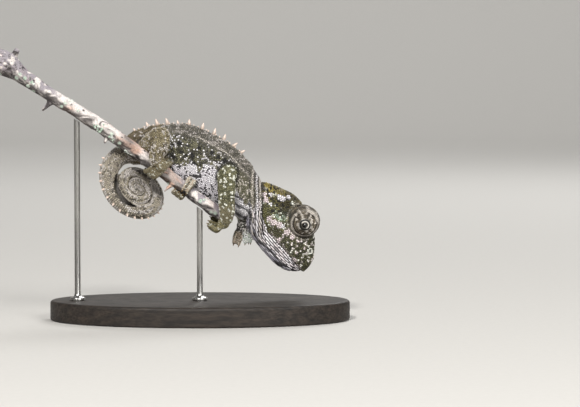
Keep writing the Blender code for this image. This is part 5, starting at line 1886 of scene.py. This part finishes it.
def twig_shades(points, normals, looks):
    """Bark colour: weathered cream, darker below as painted shade, with a painted shadow near the rump,
    cracks, black dots and lichen stains.
    """
    paint, line, x = paint_of(looks), twig_line(), points[:, 0]
    path = np.column_stack([line[:, 0], np.full(len(line), TWIG_Y), line[:, 1]])
    ways = unit(np.gradient(path, axis=0))[nearest_on(path, points)[0]]
    up = np.column_stack([-ways[:, 2], np.zeros(len(points)), ways[:, 0]])
    lift = (normals * up).sum(axis=1)
    grain = np.column_stack([(points * ways).sum(axis=1) * 0.22, points[:, 1], (points * up).sum(axis=1)])
    lump, streak = noise(points, 2.6, 201), noise(grain, 0.35, 205)
    ash = layered(paint, "ash", ("cream", fade(noise(points, 0.8, 206), 0.5, 0.65)))
    # Painted shade for the twig's underside.
    underside_shade = layered(paint, paint["shade"] * 0.6, ("cream", fade(streak, 0.5, 0.8) * 0.6, 0.6))
    dots, dot_value = spots(points * (0.8, 1, 0.8), 0.95, 209)
    crack = fade(np.abs(noise(grain, 0.9, 213) - 0.5), 0.035, 0.012)
    stains, value = spots(points, 1.5, 217)
    return layered(
        paint, "cream",
        ("blush", fade(lump + noise(grain, 0.7, 203) * 0.4, 0.55, 0.95)),
        ("cream", fade(streak, 0.58, 0.75) * 0.7, 0.45),
        (ash, np.maximum(fade(x, -5.5, -1.5), fade(x, -26.0, -30.0)) * 0.85),
        # A painted shadow across the twig near the rump.
        ("shade", near(x + lump, -13.3, 1.5) * 0.6),
        (underside_shade, fade(lift + (noise(points, 1.3, 207) - 0.5) * 0.9, 0.15, -0.25) * 0.9),
        ("crack", fade(dots, 0.26, 0.16) * (dot_value > 0.5) * 0.9),
        ("crack", crack * fade(noise(points, 2.2, 215), 0.45, 0.62) * 0.85),
        (layered(paint, "lichen", ("lichen_mint", value)),
         fade(stains, 0.5, 0.32) * (value > 0.55) * fade(lift, 0.5, 0.1) * 0.75),
    )


def bark_relief(points):
    """Ridges, knots and flakes of the bark."""
    grain = points * (0.5, 1.0, 0.5)
    ridged = 1 - 2 * np.abs(noise(grain, 0.8, 221) - 0.5)
    crack = fade(np.abs(noise(grain, 1.1, 223) - 0.5), 0.05, 0.01)
    return 0.12 * (ridged - 0.7) + 0.22 * (noise(points, 1.7, 225) - 0.5) - 0.12 * crack


def twig_mesh(looks):
    """The twig and its snags as one skin of bark."""
    shells = [tube([(x, TWIG_Y, z, r) for x, z, r in smooth_path(TWIG, 8)], 36)]
    for foot_x, foot_z, offset, tip_x, tip_z, wide, narrow in SNAGS:
        foot, tip = np.array((foot_x, TWIG_Y + offset, foot_z)), np.array((tip_x, TWIG_Y + offset * 2, tip_z))
        steps = [(*(foot + (tip - foot) * t), wide + (narrow - wide) * t**0.6) for t in np.linspace(0, 1, 7)]
        shells.append(tube(steps, 20))
    points, faces, normals = one_body(shells, looks.twig_step / MM, 3)
    mesh = new_mesh("twig_bark", points + normals * bark_relief(points)[:, None], faces)
    shaped, _, normals = mesh_arrays(mesh)
    colour_layer(mesh, twig_shades(shaped / MM, normals, looks))
    return mesh


def lichen_mesh(looks):
    """Crusts of small lumps on the twig, thickest on its sides."""
    random, paint = np.random.default_rng(19), paint_of(looks)
    vertices, faces, tones = [], [], []
    for x, angle, count, spread, green in LICHEN:
        for _ in range(count):
            at = round_twig(x, angle + random.normal() * 22 * spread, -0.11, random.normal() * spread * 0.6)
            shell, shell_faces = ball(at, random.uniform(0.12, 0.24), 10)
            shell = shell + (noise(shell, 0.12, 231) - 0.5)[:, None] * 0.1
            for face in shell_faces:
                corners = [corner + len(vertices) for corner in face]
                faces += [corners[:3]] if len(face) == 3 else [corners[:3], [corners[0], *corners[2:]]]
            vertices += shell.tolist()
            shade = paint["lichen_mint"] if random.random() < green else paint["lichen"]
            tones += [shade * random.uniform(0.85, 1.05)] * len(shell)
    return new_mesh("lichen", vertices, faces, np.array(tones))


class ANIMAL_OT_twig(bpy.types.Operator):
    """Build the twig with its bark, snags and lichen"""

    bl_idname = "animal.twig"
    bl_label = "Twig"

    def execute(self, context):
        looks = context.scene.twig_looks
        piece("twig_bark", twig_mesh(looks), bark_material(), ["perch_twig"])
        piece("lichen", lichen_mesh(looks), lichen_material())
        return {"FINISHED"}


def oval(a, b, height, sides):
    """A level ring with half axes a and b."""
    turns = np.linspace(0, 2 * math.pi, sides, endpoint=False)
    return np.column_stack([a * np.cos(turns), b * np.sin(turns), np.full(sides, height)])


def base_mesh(looks):
    """The oval base with a round upper edge and a small chamfer below."""
    edge = looks.edge_round / MM
    profile = [(-0.35, 0.0), (0.0, 0.35)]
    profile += [(-edge * (1 - math.cos(a)), BASE_HEIGHT - edge + edge * math.sin(a))
                for a in np.linspace(0, math.pi / 2, 9)]
    profile += [(-edge - 0.5, BASE_HEIGHT), (-8.0, BASE_HEIGHT)]
    rings = [oval(BASE_LENGTH / 2 + inset, BASE_WIDTH / 2 + inset, height, 160) for inset, height in profile]
    return sharp_mesh("base", rings, 35)


def rod_mesh(name, x, looks):
    """A rod with a turned foot, mitred under the twig."""
    centre, along, _, radius = twig_frame(x)
    slope = along[2] / along[0]
    top = centre[2] + (x - centre[0]) * slope - (radius + 2 * GAP) / along[0]
    foot, thick, wide = BASE_HEIGHT + GAP / 2, looks.rod_radius / MM, looks.rod_foot / MM
    profile = [(wide - 0.06, foot), (wide, foot + 0.06), (wide, foot + 0.44), (wide - 0.05, foot + 0.52),
               (wide - 0.3, foot + 0.66), (thick + 0.35, foot + 0.74), (thick + 0.14, foot + 0.9),
               (thick, foot + 1.3), (thick, (foot + top) / 2), (thick, top)]
    rings = [oval(r, r, z, 48) for r, z in profile]
    rings[-1][:, 2] += slope * rings[-1][:, 0]
    return sharp_mesh(name, [ring + (x, TWIG_Y, 0) for ring in rings], 40)


class ANIMAL_OT_stand(bpy.types.Operator):
    """Build the base and the two rods that carry the twig"""

    bl_idname = "animal.stand"
    bl_label = "Stand"

    def execute(self, context):
        looks = context.scene.stand_looks
        piece("base", base_mesh(looks), wood_material(looks), ["stand_base"])
        steel = steel_material(looks)
        for name, x in ROD_X.items():
            short = name.removeprefix("stand_")
            piece(short, rod_mesh(short, x, looks), steel, [name])
        return {"FINISHED"}


def backdrop_mesh():
    """A round paper cove: level floor that curves up to a wall all round."""
    profile = [(0.0001, 0.0), (0.3, 0.0), (0.9, 0.0), (1.4, 0.0)]
    profile += [(1.4 + 0.5 * math.sin(a), 0.5 - 0.5 * math.cos(a)) for a in np.linspace(0.1, math.pi / 2, 16)]
    profile += [(1.9, 1.6)]
    across, depth, up = np.eye(3)
    shape = turned_shape([(r / MM, z / MM) for r, z in profile], np.zeros(3), up, across, depth, 96)
    return new_mesh("backdrop", *shape)


ANIMAL = (0.0, 0.0, 0.028)  # what the lights of the animal point at
# Lights: name, place, target, width in metres, watts, linear colour
LIGHTS = (
    ("key_light", (-0.16, -0.6, 0.5), ANIMAL, 0.13, 5.8, (1.0, 0.98, 0.95)),
    ("fill_light", (0.36, -0.5, 0.34), ANIMAL, 0.3, 2.8, (1.0, 0.99, 0.97)),
    ("rim_light", (0.25, 0.55, 0.6), ANIMAL, 0.4, 3.0, (1.0, 1.0, 1.0)),
    ("backdrop_light", (0.0, 0.9, 1.3), (0.0, 1.9, 0.5), 0.9, 12.0, (1.0, 1.0, 1.0)),
)


def area_light(name, place, target, size, power, shade):
    """A round lamp that points at its target."""
    data = bpy.data.lights.new(name, "AREA")
    data.shape, data.size, data.energy, data.color = "DISK", size, power, shade
    made = bpy.data.objects.new(name, data)
    made.location = place
    made.rotation_euler = (Vector(target) - Vector(place)).to_track_quat("-Z", "Y").to_euler()
    bpy.context.scene.collection.objects.link(made)


class ANIMAL_OT_stage(bpy.types.Operator):
    """Set the paper cove, the soft lights and the camera"""

    bl_idname = "animal.stage"
    bl_label = "Stage"

    def execute(self, context):
        scene, looks = context.scene, context.scene.stage_looks
        floor = bpy.data.objects.new("backdrop", backdrop_mesh())
        scene.collection.objects.link(floor)
        floor.data.materials.append(paper_material(looks))
        for light in LIGHTS:
            area_light(*light)
        scene.view_settings.view_transform = "Standard"
        world = bpy.data.worlds.new("studio")
        scene.world = world
        world.use_nodes = True
        glow = world.node_tree.nodes["Background"].inputs
        glow["Color"].default_value, glow["Strength"].default_value = (0.8, 0.82, 0.85, 1.0), 0.16
        lift = math.radians(looks.camera_lift)
        centre = Vector((0.018, 0.0, 0.0233))
        back = Vector((0.0, -math.cos(lift), math.sin(lift)))
        data = bpy.data.cameras.new("camera")
        data.sensor_width = 36.0
        data.lens = data.sensor_width * looks.camera_distance / looks.view_width
        data.clip_start, data.clip_end = 0.01, 20.0
        camera = bpy.data.objects.new("camera", data)
        camera.location = centre + back * looks.camera_distance
        camera.rotation_euler = (-back).to_track_quat("-Z", "Y").to_euler()
        scene.collection.objects.link(camera)
        scene.camera = camera
        return {"FINISHED"}


class ANIMAL_PT_panel(bpy.types.Panel):
    """Lists the steps in the order they are run"""

    bl_label = "Chameleon"
    bl_idname = "ANIMAL_PT_panel"
    bl_space_type = "VIEW_3D"
    bl_region_type = "UI"
    bl_category = "Chameleon"

    def draw(self, context):
        for group in GROUPS:
            box = self.layout.box()
            for key in GROUPS[group].__annotations__:
                box.prop(getattr(context.scene, group), key)
        for step in OPERATORS:
            self.layout.operator(step.bl_idname)


GROUPS = {
    "coat_sizes": CoatSizes,
    "coat_colours": CoatColours,
    "eye_looks": EyeLooks,
    "twig_looks": TwigLooks,
    "stand_looks": StandLooks,
    "stage_looks": StageLooks,
}
OPERATORS = (
    ANIMAL_OT_skin,
    ANIMAL_OT_scales,
    ANIMAL_OT_spines,
    ANIMAL_OT_claws,
    ANIMAL_OT_eyes,
    ANIMAL_OT_twig,
    ANIMAL_OT_stand,
    ANIMAL_OT_stage,
)


def register():
    for made in (*GROUPS.values(), *OPERATORS, ANIMAL_PT_panel):
        bpy.utils.register_class(made)
    for name, group in GROUPS.items():
        setattr(bpy.types.Scene, name, PointerProperty(type=group))


def unregister():
    for name in GROUPS:
        delattr(bpy.types.Scene, name)
    for made in reversed((*GROUPS.values(), *OPERATORS, ANIMAL_PT_panel)):
        bpy.utils.unregister_class(made)


def main():
    register()
    bpy.ops.animal.skin()
    bpy.ops.animal.scales()
    bpy.ops.animal.spines()
    bpy.ops.animal.claws()
    bpy.ops.animal.eyes()
    bpy.ops.animal.twig()
    bpy.ops.animal.stand()
    bpy.ops.animal.stage()


if __name__ == "__main__":
    main()
